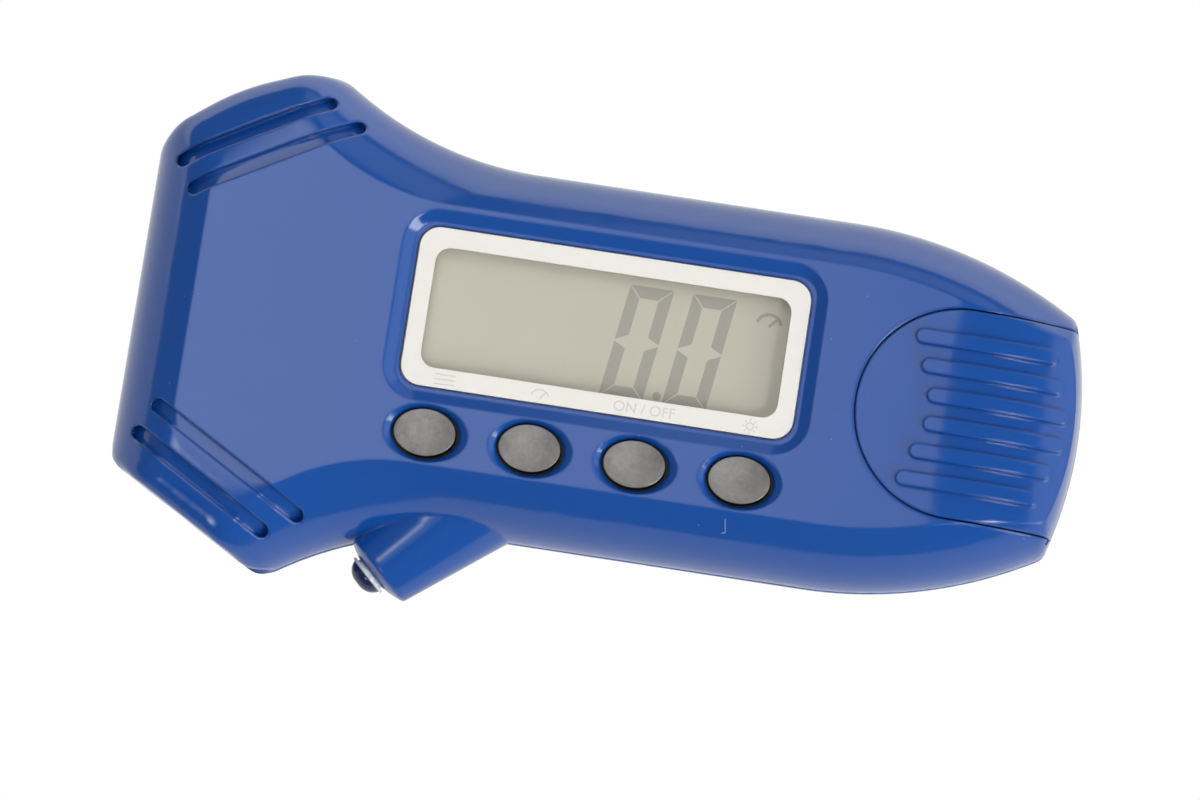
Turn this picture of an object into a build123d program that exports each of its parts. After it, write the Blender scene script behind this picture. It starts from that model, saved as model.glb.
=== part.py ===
from build123d import *
from math import atan2, cos, degrees, hypot, radians, sin, sqrt, tan
import os

# Handheld digital tyre pressure gauge, lying on its back with the display up.
# Millimetres. X runs from the head to the tail, Y across the body, Z up out of the display.
# The origin is in the middle of the flat underside that the gauge rests on.
# Two glossy shells meet at a flat joint line. The T-shaped head holds the valve chuck in its
# flat slanted face, and a conical torch nozzle beside it lights the valve.
os.makedirs("parts", exist_ok=True)

# Housing: heights
JOINT_Z = 12.5              # joint line between the two shells, which is also the widest line
FRONT_RISE = 12.5           # joint line up to the flat plateau round the display
WALL = 2.0
LIP_HEIGHT = 1.4            # lip of the back shell that locates the front shell
LIP_THICKNESS = 0.9
LIP_CLEARANCE = 0.1

# Housing: outline at the joint line
NOSE_REACH = 60.0           # origin to the flat nose
TAIL_REACH = 60.0           # origin to the tip of the tail
NOSE_HALF_WIDTH = 20.5
HANDLE_HALF_WIDTH = 23.3
CHUCK_FACE_ANGLE = 29.4     # flat slanted face, measured from the length of the body
NECK_ANGLE = 32.3           # flank that runs from the head down to the handle
NECK_X = -25.0              # where the flank line meets the handle line
TAPER_INSET = 16.6          # tail tip back to where the handle line meets the tail taper
TAPER_ANGLE = 29.8
TAIL_END_ANGLE = 15.0       # half the sweep of the gently curved tail end
BULGE_INSET = 9.2           # nose back to the crown of the rounded slanted side
BULGE_NOSE_ANGLE = 38.0
BULGE_NECK_ANGLE = 21.8

# Housing: corner radii in plan
NOSE_RADIUS = 2.0
HEAD_RADIUS = 2.4
NECK_RADIUS = 45.0
TAPER_RADIUS = 57.0
TAIL_CORNER_RADIUS = 2.0
TAIL_END_RADIUS = 50.0
SOFT_HEAD_RADIUS = 6.0
BULGE_RADIUS = 30.0
SOFT_NOSE_RADIUS = 4.0
LEAST_RADIUS = 0.5

# Housing: how far each side leans in by the top, and how tall its upright foot is
HANDLE_RUN = 7.1
NECK_RUN = 8.6
NOSE_RUN = 8.2
TAIL_END_RUN = 4.0
CHUCK_FACE_RUN = 7.8
CHUCK_FACE_UPRIGHT = 9.0
BULGE_RUN = 9.3
BULGE_UPRIGHT = 6.0
BACK_RUN = 6.0
BACK_CHUCK_RUN = 3.6
BACK_CHUCK_UPRIGHT = 8.5
BACK_EDGE_RADIUS = 1.5

# Tail: the top curves down towards the end
TAIL_DROP_INSET = 18.0      # tail tip back to where the curve starts
TAIL_DROP_RADIUS = 38.0

# Grooves beside the slanted sides
GROOVE_WIDTH = 1.8
GROOVE_DEPTH = 1.0
INNER_GROOVE = ((6.1, 13.8), (25.0, 24.5))     # ends, each as nose back to it and middle out to it
OUTER_GROOVE = ((4.0, 17.3), (21.0, 27.0))

# Display
DISPLAY_X = -0.5
DISPLAY_Y = 3.5
BEZEL_LENGTH = 49.0
BEZEL_WIDTH = 19.9
BEZEL_CORNER = 2.5
BEZEL_CLEARANCE = 0.15
BEZEL_PROUD = 0.2           # bezel top over the floor of the recess round it
RECESS_DEPTH = 1.0
RECESS_SLOPE = 2.1
BEZEL_FLANGE = 1.2          # flange that holds the bezel behind the wall
BEZEL_FLANGE_THICKNESS = 0.8
SIGHT_LENGTH = 44.6
SIGHT_WIDTH = 15.1
SIGHT_CORNER = 1.9
SIGHT_LEDGE = 0.8           # ledge of the bezel that the window sits behind
WINDOW_DEPTH = 0.5          # bezel top down to the window
WINDOW_FIT = 0.1
LCD_LENGTH = 48.0
LCD_WIDTH = 18.6
LCD_THICKNESS = 2.2
LCD_LEDGE = 1.8             # strip of bare glass with the contacts
BACKLIGHT_THICKNESS = 2.8
LCD_FRAME_WALL = 1.0
LCD_FRAME_FLOOR = 1.0
LCD_FIT = 0.1
LCD_GAP = 0.2               # air between the window and the panel

# Circuit board, clamped between posts of the two shells
BOARD_THICKNESS = 1.6
BOARD_X = (-30.0, 30.0)
BOARD_Y = (-16.2, 15.6)
POST_RADIUS = 1.5
POST_X = (-28.2, 28.0)
POST_Y = (-9.0, 10.0)

# Push buttons
BUTTON_NAMES = ("mode", "unit", "power", "light")
BUTTON_X = -20.6            # first button
BUTTON_PITCH = 13.07
BUTTON_Y = -12.3
CAP_LENGTH = 7.65
CAP_WIDTH = 5.8
CAP_PROUD = 0.05            # crown of the cap over the plateau
CAP_CROWN = 0.45
CAP_GAP_LENGTH = 0.42       # free space round the cap, along the body
CAP_GAP_WIDTH = 0.3         # and across it
CAP_SHIFT = (-0.14, 0.09)   # the keys sit a little off the middle of their holes
DISH_RIM = 1.0              # sloped rim round each button hole, along the body
DISH_RIM_WIDTH = 0.45       # and across it
DISH_DEPTH = 0.8
CAP_FLANGE = 0.7            # flange under the wall, along the body
CAP_FLANGE_WIDTH = 0.3      # and across it
CAP_FLANGE_THICKNESS = 0.8
CAP_TOP_GAP = 0.3           # flange under the wall
CAP_STEM_RADIUS = 1.6
BUTTON_TRAVEL = 0.3
SWITCH_SIZE = 6.0
SWITCH_HEIGHT = 3.5
SWITCH_CORNER = 0.6
PLUNGER_RADIUS = 1.75
PLUNGER_PROUD = 1.5
PLUNGER_DEPTH = 1.0
PLUNGER_CLEARANCE = 0.1
PLUNGER_FLOOR_GAP = 0.1

# Battery door and bay
DOOR_INSET = 15.8           # tail tip back to the centre of the round end of the door
DOOR_RADIUS = 12.95
DOOR_GAP = 0.2
DOOR_THICKNESS = 1.8
DOOR_SILL_Z = 16.0          # lower edge of the door at the tail
DOOR_SKIRT = 1.1
DOOR_TONGUE = 0.65
TONGUE_HEIGHT = 1.0
TONGUE_CLEARANCE = 0.12
TONGUE_START = 1.8          # before the centre of the door's round end
TONGUE_LENGTH = 9.6
RIB_COUNT = 6
RIB_PITCH = 3.56
RIB_WIDTH = 1.85
RIB_LENGTH = 18.0
RIB_HEIGHT = 0.65
RIB_START = 4.4             # two middle ribs begin this far before the centre of the round end
RIB_STEP = 1.2              # each rib further out sits this much nearer the display
LEDGE_WIDTH = 1.3
LEDGE_GAP = 0.05            # ledge under the skin of the door
LEDGE_THICKNESS = 1.2
TRAY_Z = 15.6               # underside of the battery tray
TRAY_THICKNESS = 1.3
CELL_RADIUS = 10.0
CELL_THICKNESS = 3.2
CELL_EDGE = 0.4
WELL_CLEARANCE = 0.4
WELL_WALL = 0.9
RAIL_WIDTH = 1.4
BAY_WALL = 1.2
CONTACT_THICKNESS = 0.3
CONTACT_WIDTH = 4.0
CONTACT_Y = 4.2             # the two contacts sit this far either side of the middle
CONTACT_SLOT = 0.2          # free space round a contact where it passes a wall
CONTACT_FOOT = 2.6
CONTACT_DROP = 0.6          # contacts reach the board this far inside its edge

# Torch nozzle
TORCH_END = (-24.7, -28.9)  # centre of the nozzle's end at its rim
TORCH_ANGLE = 226.8         # way that the beam points, seen from above
TORCH_RADIUS = 5.4
TORCH_TAPER = 9.0
TORCH_LENGTH = 15.0
TORCH_WALL = 1.4
TORCH_DOME = 1.25           # bulge of the end face
TORCH_EDGE = 0.8
TORCH_END_WALL = 2.4
LENS_FLANGE_RADIUS = 2.75
LENS_FLANGE_THICKNESS = 0.35
LENS_RADIUS = 2.5
LENS_HEIGHT = 1.5
LENS_PLUG_RADIUS = 2.2
LENS_PLUG_LENGTH = 2.0
LENS_FIT = 0.05
LED_RADIUS = 2.5
LED_LENGTH = 8.6
LED_FLANGE_RADIUS = 2.9
LED_FLANGE_THICKNESS = 1.0
LED_FIT = 0.05
LED_START = 0.4             # behind the lens plug
SLEEVE_WALL = 0.9
LEAD_WIDTH = 0.5
LEAD_SPACING = 2.54
LEAD_LENGTH = 8.8

# Valve chuck
CHUCK_RADIUS = 5.5
CHUCK_FIT = 0.08
CHUCK_HOLE_DRAFT = 0.5      # the moulded hole round the chuck widens outwards, in degrees
CHUCK_LENGTH = 13.0
COLLAR_RADIUS = 6.4
COLLAR_THICKNESS = 1.4
COLLAR_GAP = 0.1
VALVE_BORE_RADIUS = 4.15
VALVE_BORE_DEPTH = 7.0
SEAL_RADIUS = 4.6
SEAL_THICKNESS = 3.0
SEAL_HOLE_RADIUS = 1.6
SEAL_FIT = 0.05
SEAL_MOUTH = 0.5
AIR_BORE_RADIUS = 1.0
PIN_RADIUS = 0.9
PIN_RECESS = 0.3            # face of the seal down to the tip of the pin
PIN_BASE_RADIUS = 2.4
PIN_BASE_THICKNESS = 1.0
PIN_VENT_RADIUS = 0.4
PIN_VENT_COUNT = 3
CHAMBER_DEPTH = 1.6
BARB_RADIUS = 1.5
BARB_BUMP = 0.35
BARB_LENGTH = 4.0
TUBE_WALL = 0.7
TUBE_FIT = 0.05

# Pressure sensor on the underside of the board
SENSOR_SIZE = 9.0
SENSOR_HEIGHT = 6.0
SENSOR_X = -26.0
SENSOR_Y = 3.5
SENSOR_STANDOFF = 0.4
SENSOR_LEAD_WIDTH = 0.6
SENSOR_LEAD_PITCH = 2.54
SENSOR_LEAD_COUNT = 3
CHIP_SIZE = 10.0
CHIP_HEIGHT = 1.4
CHIP_X = 2.0
CHIP_Y = 2.0
SMALL_PART = (2.0, 1.25, 0.8)
SMALL_PART_PITCH = 3.2
SMALL_PART_COUNT = 5
SMALL_PART_Y = -6.5

# Housing screws, driven from the underside
HEAD_SCREW_INSET = 11.0     # nose back to the two screws in the head
HEAD_SCREW_Y = (-6.5, 13.0)
TAIL_SCREW_LEAD = 7.2       # two tail screws before the centre of the door's round end
TAIL_SCREW_Y = (-11.5, 11.5)
SCREW_SHANK_RADIUS = 1.1
SCREW_LENGTH = 9.6
SCREW_HEAD_RADIUS = 2.2
SCREW_HEAD_HEIGHT = 1.5
SCREW_SEAT_Z = 6.0
SCREW_CLEARANCE = 0.25
SCREW_PILOT_CLEARANCE = 0.05
SCREW_HEAD_CLEARANCE = 0.35
SCREW_BOSS_WALL = 1.3
DRIVE_WIDTH = 0.6
DRIVE_DEPTH = 0.8

# Places and heights that follow from the sizes above
TAPER_X = TAIL_REACH - TAPER_INSET
TAIL_DROP_X = TAIL_REACH - TAIL_DROP_INSET
DOOR_X = TAIL_REACH - DOOR_INSET
BULGE_X = BULGE_INSET - NOSE_REACH
HEAD_SCREW_X = HEAD_SCREW_INSET - NOSE_REACH
TAIL_SCREW_X = DOOR_X - TAIL_SCREW_LEAD
TONGUE_X = (DOOR_X - TONGUE_START, DOOR_X - TONGUE_START + TONGUE_LENGTH)
CONTACT_DROP_X = BOARD_X[1] - CONTACT_DROP
PLATEAU_Z = JOINT_Z + FRONT_RISE
CEILING_Z = PLATEAU_Z - WALL
BOARD_TOP_Z = JOINT_Z + BOARD_THICKNESS / 2
BOARD_BOTTOM_Z = JOINT_Z - BOARD_THICKNESS / 2
RECESS_Z = PLATEAU_Z - RECESS_DEPTH
BEZEL_TOP_Z = RECESS_Z + BEZEL_PROUD
BEZEL_BOTTOM_Z = CEILING_Z - BEZEL_FLANGE_THICKNESS
LCD_TOP_Z = BEZEL_BOTTOM_Z - LCD_GAP
LCD_BOTTOM_Z = LCD_TOP_Z - LCD_THICKNESS
BACKLIGHT_BOTTOM_Z = LCD_BOTTOM_Z - BACKLIGHT_THICKNESS
SWITCH_TOP_Z = BOARD_TOP_Z + SWITCH_HEIGHT
PLUNGER_TOP_Z = SWITCH_TOP_Z + PLUNGER_PROUD
CAP_FLANGE_TOP_Z = CEILING_Z - CAP_TOP_GAP
TRAY_TOP_Z = TRAY_Z + TRAY_THICKNESS
CELL_BOTTOM_Z = TRAY_TOP_Z + CONTACT_THICKNESS
CELL_TOP_Z = CELL_BOTTOM_Z + CELL_THICKNESS
WIDE = 4 * (NOSE_REACH + TAIL_REACH)    # larger than the whole gauge, for cutting blocks


# Plan outline of the housing
def meet(p, p_angle, q, q_angle):
    """Crossing of the line through p at p_angle and the line through q at q_angle."""
    px, py = cos(radians(p_angle)), sin(radians(p_angle))
    qx, qy = cos(radians(q_angle)), sin(radians(q_angle))
    along = ((q[0] - p[0]) * qy - (q[1] - p[1]) * qx) / (px * qy - py * qx)
    return (p[0] + along * px, p[1] + along * py)


def side(run, upright=0.0, fullness=0.846):
    """Section of one side: lean by the top, height of its upright foot, and how round it is."""
    return {"run": run, "upright": upright, "fullness": fullness}


def outline_corners(handle, neck, nose, chuck_face, bulge, tail_end):
    """Corners anticlockwise: point, radius, growth of the radius inwards, section of the next side."""
    nose_low = (-NOSE_REACH, -NOSE_HALF_WIDTH)
    nose_high = (-NOSE_REACH, NOSE_HALF_WIDTH)
    neck_low = (NECK_X, -HANDLE_HALF_WIDTH)
    neck_high = (NECK_X, HANDLE_HALF_WIDTH)
    taper_low = (TAPER_X, -HANDLE_HALF_WIDTH)
    taper_high = (TAPER_X, HANDLE_HALF_WIDTH)
    tip = (TAIL_REACH + TAIL_END_RADIUS * (1 / cos(radians(TAIL_END_ANGLE)) - 1), 0.0)
    crown_rise = (BULGE_X + NOSE_REACH) * tan(radians(BULGE_NOSE_ANGLE))
    crown = (BULGE_X, NOSE_HALF_WIDTH + crown_rise)
    head_low = meet(nose_low, -CHUCK_FACE_ANGLE, neck_low, NECK_ANGLE)
    head_high = meet(crown, BULGE_NECK_ANGLE, neck_high, -NECK_ANGLE)
    end_low = meet(taper_low, TAPER_ANGLE, tip, 90 - TAIL_END_ANGLE)
    end_high = meet(taper_high, -TAPER_ANGLE, tip, 90 + TAIL_END_ANGLE)
    return [
        (nose_low, NOSE_RADIUS, 0.25, chuck_face),
        (head_low, HEAD_RADIUS, 0.40, neck),
        (neck_low, NECK_RADIUS, -2.2, handle),
        (taper_low, TAPER_RADIUS, -1.0, handle),
        (end_low, TAIL_CORNER_RADIUS, 0.20, tail_end),
        (tip, TAIL_END_RADIUS, -1.0, tail_end),
        (end_high, TAIL_CORNER_RADIUS, 0.20, handle),
        (taper_high, TAPER_RADIUS, -1.0, handle),
        (neck_high, NECK_RADIUS, -2.2, neck),
        (head_high, SOFT_HEAD_RADIUS, 0.0, bulge),
        (crown, BULGE_RADIUS, -0.5, bulge),
        (nose_high, SOFT_NOSE_RADIUS, 0.0, nose),
    ]


def inset(section, height, rise, wall):
    """How far a side has leaned in at a height, wall deep inside the surface."""
    across = section["run"] / (1 - sqrt(1 - section["fullness"] ** 2))
    tall = (rise - section["upright"]) / section["fullness"]
    lowered = min(section["upright"], max(wall, 0.0))
    above = max(0.0, height - section["upright"] + lowered)
    return across - (across - wall) * sqrt(1 - (above / (tall - wall + lowered)) ** 2)


def unit(p, q):
    """Direction from p to q, and the distance."""
    length = hypot(q[0] - p[0], q[1] - p[1])
    return ((q[0] - p[0]) / length, (q[1] - p[1]) / length), length


def inset_corners(corners, height, rise, wall):
    """Corner points and radii of the outline at one height."""
    points = []
    radii = []
    for i, (point, radius, growth, section) in enumerate(corners):
        before = inset(corners[i - 1][3], height, rise, wall)
        after = inset(section, height, rise, wall)
        into, _ = unit(corners[i - 1][0], point)
        out, _ = unit(point, corners[(i + 1) % len(corners)][0])
        first = (point[0] - into[1] * before, point[1] + into[0] * before)
        second = (point[0] - out[1] * after, point[1] + out[0] * after)
        turn = into[0] * out[1] - into[1] * out[0]
        along = ((second[0] - first[0]) * out[1] - (second[1] - first[1]) * out[0]) / turn
        points.append((first[0] + along * into[0], first[1] + along * into[1]))
        radii.append(max(LEAST_RADIUS, radius + growth * (before + after) / 2))
    return points, radii


def rounded_wire(points, radii, z):
    """Closed outline of straight sides and arcs. An arc is limited by the sides beside it."""
    count = len(points)
    half_angles = []
    reaches = []
    for i in range(count):
        back, _ = unit(points[i], points[i - 1])
        ahead, _ = unit(points[i], points[(i + 1) % count])
        half = abs(atan2(back[0] * ahead[1] - back[1] * ahead[0],
                         back[0] * ahead[0] + back[1] * ahead[1])) / 2
        half_angles.append(half)
        reaches.append(radii[i] / tan(half))
    for i in range(count):
        _, length = unit(points[i - 1], points[i])
        excess = (reaches[i - 1] + reaches[i]) / (0.96 * length)
        if excess > 1:
            reaches[i - 1] /= excess
            reaches[i] /= excess
    arcs = []
    for i in range(count):
        x, y = points[i]
        back, _ = unit(points[i], points[i - 1])
        ahead, _ = unit(points[i], points[(i + 1) % count])
        middle, _ = unit((0, 0), (back[0] + ahead[0], back[1] + ahead[1]))
        radius = reaches[i] * tan(half_angles[i])
        depth = radius / sin(half_angles[i]) - radius
        arcs.append((Vector(x + back[0] * reaches[i], y + back[1] * reaches[i], z),
                     Vector(x + middle[0] * depth, y + middle[1] * depth, z),
                     Vector(x + ahead[0] * reaches[i], y + ahead[1] * reaches[i], z)))
    edges = []
    for i in range(count):
        edges.append(Edge.make_line(arcs[i - 1][2], arcs[i][0]))
        edges.append(Edge.make_three_point_arc(*arcs[i]))
    return Wire(edges)


FRONT_CORNERS = outline_corners(side(HANDLE_RUN), side(NECK_RUN), side(NOSE_RUN),
                                side(CHUCK_FACE_RUN, CHUCK_FACE_UPRIGHT, 0.98),
                                side(BULGE_RUN, BULGE_UPRIGHT, 0.96), side(TAIL_END_RUN))
BACK_CORNERS = outline_corners(side(BACK_RUN), side(BACK_RUN), side(BACK_RUN),
                               side(BACK_CHUCK_RUN, BACK_CHUCK_UPRIGHT, 0.98), side(BACK_RUN),
                               side(BACK_RUN))
LEVELS = (0, 0.28, 0.52, 0.70, 0.82, 0.91, 0.96, 1.0)


def lofted_half(corners, rise, wall, direction):
    """One half of the housing's form, from the joint line to its flat face, wall deep inside."""
    wires = []
    for level in LEVELS:
        height = level * (rise - wall)
        points, radii = inset_corners(corners, height, rise, wall)
        wires.append(rounded_wire(points, radii, JOINT_Z + direction * height))
    return Solid.make_loft(wires, False)


def box_between(x, y, z):
    """Block between two values on each axis."""
    size = (x[1] - x[0], y[1] - y[0], z[1] - z[0])
    centre = ((x[0] + x[1]) / 2, (y[0] + y[1]) / 2, (z[0] + z[1]) / 2)
    return Pos(*centre) * Box(*size)


def cylinder_between(x, y, z, radius):
    """Upright cylinder between two heights."""
    return Pos(x, y, (z[0] + z[1]) / 2) * Cylinder(radius, z[1] - z[0])


def under_top(wall):
    """Space under the plateau and under the curve of the tail, wall deep inside."""
    flat = box_between((-WIDE, TAIL_DROP_X), (-WIDE, WIDE), (-WIDE, PLATEAU_Z - wall))
    axis = Pos(TAIL_DROP_X, 0, PLATEAU_Z - TAIL_DROP_RADIUS) * Rot(90, 0, 0)
    return flat + axis * Cylinder(TAIL_DROP_RADIUS - wall, 2 * WIDE)


def front_form(wall):
    return lofted_half(FRONT_CORNERS, FRONT_RISE, wall, 1) & under_top(wall)


def back_form(wall):
    return lofted_half(BACK_CORNERS, JOINT_Z, wall, -1)


def above_joint(shape):
    return shape & box_between((-WIDE, WIDE), (-WIDE, WIDE), (JOINT_Z, WIDE))


def below_joint(shape):
    return shape & box_between((-WIDE, WIDE), (-WIDE, WIDE), (-WIDE, JOINT_Z))


def rounded_plate(length, width, corner, x, y, z):
    """Plate with rounded corners between two heights."""
    return Pos(x, y, z[0]) * extrude(RectangleRounded(length, width, corner), z[1] - z[0])


def turned(points):
    """Solid of revolution from (radius, position along the axis) points, axis along local Z."""
    outline = Polyline(*[(radius, 0, along) for radius, along in points], close=True)
    return revolve(make_face(outline), Axis.Z, 360)


# Torch nozzle. Its own Z runs from the centre of its end back into the body.
TORCH_BACK = Vector(-cos(radians(TORCH_ANGLE)), -sin(radians(TORCH_ANGLE)), 0)
TORCH_PLANE = Plane(origin=(TORCH_END[0], TORCH_END[1], JOINT_Z), x_dir=(0, 0, 1), z_dir=TORCH_BACK)
TORCH_SPREAD = tan(radians(TORCH_TAPER))
LED_TIP = -TORCH_DOME + LENS_PLUG_LENGTH + LED_START
SLEEVE_END = LED_TIP + LED_LENGTH - LED_FLANGE_THICKNESS


def torch_cone():
    """Outside of the nozzle: a cone with a gently domed end."""
    dome = ThreePointArc((TORCH_RADIUS, 0, 0),
                         (TORCH_RADIUS / 2, 0, -0.75 * TORCH_DOME),
                         (0, 0, -TORCH_DOME))
    wide = TORCH_RADIUS + TORCH_LENGTH * TORCH_SPREAD
    rest = Polyline((0, 0, -TORCH_DOME), (0, 0, TORCH_LENGTH), (wide, 0, TORCH_LENGTH),
                    (TORCH_RADIUS, 0, 0))
    cone = revolve(make_face([dome, rest]), Axis.Z, 360)
    rim = cone.edges().filter_by(lambda edge: edge.is_closed).sort_by(Axis.Z)[0]
    return TORCH_PLANE * fillet(rim, TORCH_EDGE)


def torch_hollow():
    """Inside of the nozzle, with the seat and hole of the lens."""
    start = TORCH_END_WALL - TORCH_DOME
    narrow = TORCH_RADIUS - TORCH_WALL + start * TORCH_SPREAD
    wide = TORCH_RADIUS - TORCH_WALL + TORCH_LENGTH * TORCH_SPREAD
    chamber = turned([(0, start), (narrow, start), (wide, TORCH_LENGTH), (0, TORCH_LENGTH)])
    hole = LENS_PLUG_RADIUS + LENS_FIT
    bore = turned([(0, -2 * TORCH_DOME), (hole, -2 * TORCH_DOME), (hole, start), (0, start)])
    seat_radius = LENS_FLANGE_RADIUS + LENS_FIT
    seat = turned([(0, -2 * TORCH_DOME), (seat_radius, -2 * TORCH_DOME),
                   (seat_radius, -TORCH_DOME), (0, -TORCH_DOME)])
    return TORCH_PLANE * (chamber + bore + seat)


def torch_sleeve():
    """Sleeve inside the nozzle that carries the lamp."""
    start = TORCH_END_WALL - TORCH_DOME
    inner = LED_RADIUS + LED_FIT
    outer = inner + SLEEVE_WALL
    return TORCH_PLANE * turned([(inner, start), (outer, start), (outer, SLEEVE_END),
                                 (inner, SLEEVE_END)])


# Valve chuck. Its own Z runs from the middle of the flat slanted face into the head.
CHUCK_BACK = Vector(sin(radians(CHUCK_FACE_ANGLE)), cos(radians(CHUCK_FACE_ANGLE)), 0)
CHUCK_MIDDLE_X = (FRONT_CORNERS[0][0][0] + FRONT_CORNERS[1][0][0]) / 2
CHUCK_MIDDLE_Y = (FRONT_CORNERS[0][0][1] + FRONT_CORNERS[1][0][1]) / 2
CHUCK_PLANE = Plane(origin=(CHUCK_MIDDLE_X, CHUCK_MIDDLE_Y, JOINT_Z), x_dir=(0, 0, 1),
                    z_dir=CHUCK_BACK)


def chuck_hole():
    """Hole of the chuck in the housing wall, narrowest at its inner end."""
    radius = CHUCK_RADIUS + CHUCK_FIT
    mouth = radius + 3 * WALL * tan(radians(CHUCK_HOLE_DRAFT))
    return CHUCK_PLANE * turned([(0, -WALL), (mouth, -WALL), (radius, 2 * WALL), (0, 2 * WALL)])


def screw_places():
    head = [(HEAD_SCREW_X, y) for y in HEAD_SCREW_Y]
    tail = [(TAIL_SCREW_X, y) for y in TAIL_SCREW_Y]
    return head, tail


def button_places():
    return [BUTTON_X + i * BUTTON_PITCH for i in range(len(BUTTON_NAMES))]


def ellipse_column(length, width, x, y, z):
    """Upright elliptical column between two heights."""
    return Pos(x, y, z[0]) * extrude(Ellipse(length / 2, width / 2), z[1] - z[0])


def ellipse_dish(hole_length, hole_width, rim_length, rim_width, x, y, z):
    """Elliptical dish from a small ellipse at the bottom to a large one at the top."""
    low = Pos(x, y, z[0]) * Ellipse(hole_length / 2, hole_width / 2)
    high = Pos(x, y, z[1]) * Ellipse(hole_length / 2 + rim_length, hole_width / 2 + rim_width)
    return loft([low.face(), high.face()])


def groove_cutter(ends, mirror, core):
    """One moulded groove, a constant depth below the curved surface."""
    (x1, y1), (x2, y2) = [(back - NOSE_REACH, out) for back, out in ends]
    length = hypot(x2 - x1, y2 - y1) + GROOVE_WIDTH
    slot = SlotOverall(length, GROOVE_WIDTH)
    angle = degrees(atan2(y2 - y1, x2 - x1))
    placed = Pos((x1 + x2) / 2, mirror * (y1 + y2) / 2, JOINT_Z) * Rot(0, 0, mirror * angle)
    return placed * extrude(slot, 2 * FRONT_RISE) - core


def door_outline(grow):
    """Plan of the battery door: a round end and straight sides that run past the tail."""
    radius = DOOR_RADIUS + grow
    disc = Pos(DOOR_X, 0) * Circle(radius)
    reach = TAIL_REACH + TAIL_DROP_RADIUS - DOOR_X
    strip = Pos(DOOR_X + reach / 2, 0) * Rectangle(reach, 2 * radius)
    return disc + strip


def door_column(grow, z):
    return Pos(0, 0, z[0]) * extrude(door_outline(grow), z[1] - z[0])


def tongue_block(grow, x):
    """Space of the two side tongues of the door, or of their grooves when grown."""
    outer = DOOR_RADIUS + DOOR_TONGUE + grow
    z = (TRAY_TOP_Z + TONGUE_CLEARANCE - grow, TRAY_TOP_Z + TONGUE_CLEARANCE + TONGUE_HEIGHT + grow)
    high = box_between(x, (DOOR_RADIUS - DOOR_SKIRT, outer), z)
    low = box_between(x, (-outer, -DOOR_RADIUS + DOOR_SKIRT), z)
    return high + low


def contact_slots(z):
    """Room for the two contacts through the walls round the cell."""
    half = CONTACT_WIDTH / 2 + CONTACT_SLOT
    x = (CONTACT_DROP_X - 2 * BAY_WALL, DOOR_X)
    slots = [box_between(x, (s * CONTACT_Y - half, s * CONTACT_Y + half), z) for s in (-1, 1)]
    return slots[0] + slots[1]


def battery_bay(cavity):
    """Tray, well, rails and ledge that the front shell carries under the battery door."""
    inner = DOOR_RADIUS + DOOR_GAP
    front_x = DOOR_X - inner - BAY_WALL
    tray = cavity & box_between((front_x, WIDE), (-WIDE, WIDE), (TRAY_Z, TRAY_TOP_Z))
    bulkhead = cylinder_between(DOOR_X, 0, (TRAY_Z, PLATEAU_Z - WALL / 2), inner + BAY_WALL)
    bulkhead -= cylinder_between(DOOR_X, 0, (TRAY_TOP_Z, PLATEAU_Z), inner)
    bulkhead &= box_between((-WIDE, TONGUE_X[0] - TONGUE_CLEARANCE), (-WIDE, WIDE), (0, WIDE))
    trimmed_tray = tray & (cylinder_between(DOOR_X, 0, (0, WIDE), inner + BAY_WALL)
                           + box_between((DOOR_X, WIDE), (-WIDE, WIDE), (0, WIDE))
                           + box_between((TAIL_SCREW_X, WIDE), (-WIDE, WIDE), (0, WIDE)))
    ledge_top = PLATEAU_Z - DOOR_THICKNESS - LEDGE_GAP
    ledge = cylinder_between(DOOR_X, 0, (ledge_top - LEDGE_THICKNESS, ledge_top), inner + BAY_WALL)
    ledge -= cylinder_between(DOOR_X, 0, (0, WIDE), inner - LEDGE_WIDTH)
    ledge &= box_between((-WIDE, TONGUE_X[0] - TONGUE_CLEARANCE), (-WIDE, WIDE), (0, WIDE))
    rail_x = (TONGUE_X[0] - TONGUE_CLEARANCE, WIDE)
    rail_z = (TRAY_Z, WIDE)
    rails = box_between(rail_x, (inner, inner + RAIL_WIDTH), rail_z)
    rails += box_between(rail_x, (-inner - RAIL_WIDTH, -inner), rail_z)
    rails &= cavity
    well_radius = CELL_RADIUS + WELL_CLEARANCE
    well = cylinder_between(DOOR_X, 0, (TRAY_Z, CELL_TOP_Z), well_radius + WELL_WALL)
    well -= cylinder_between(DOOR_X, 0, (TRAY_TOP_Z, WIDE), well_radius)
    bay = trimmed_tray + (bulkhead & cavity) + ledge + rails + well
    return bay - contact_slots((TRAY_TOP_Z, CELL_TOP_Z + CONTACT_SLOT + CONTACT_THICKNESS))


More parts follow.
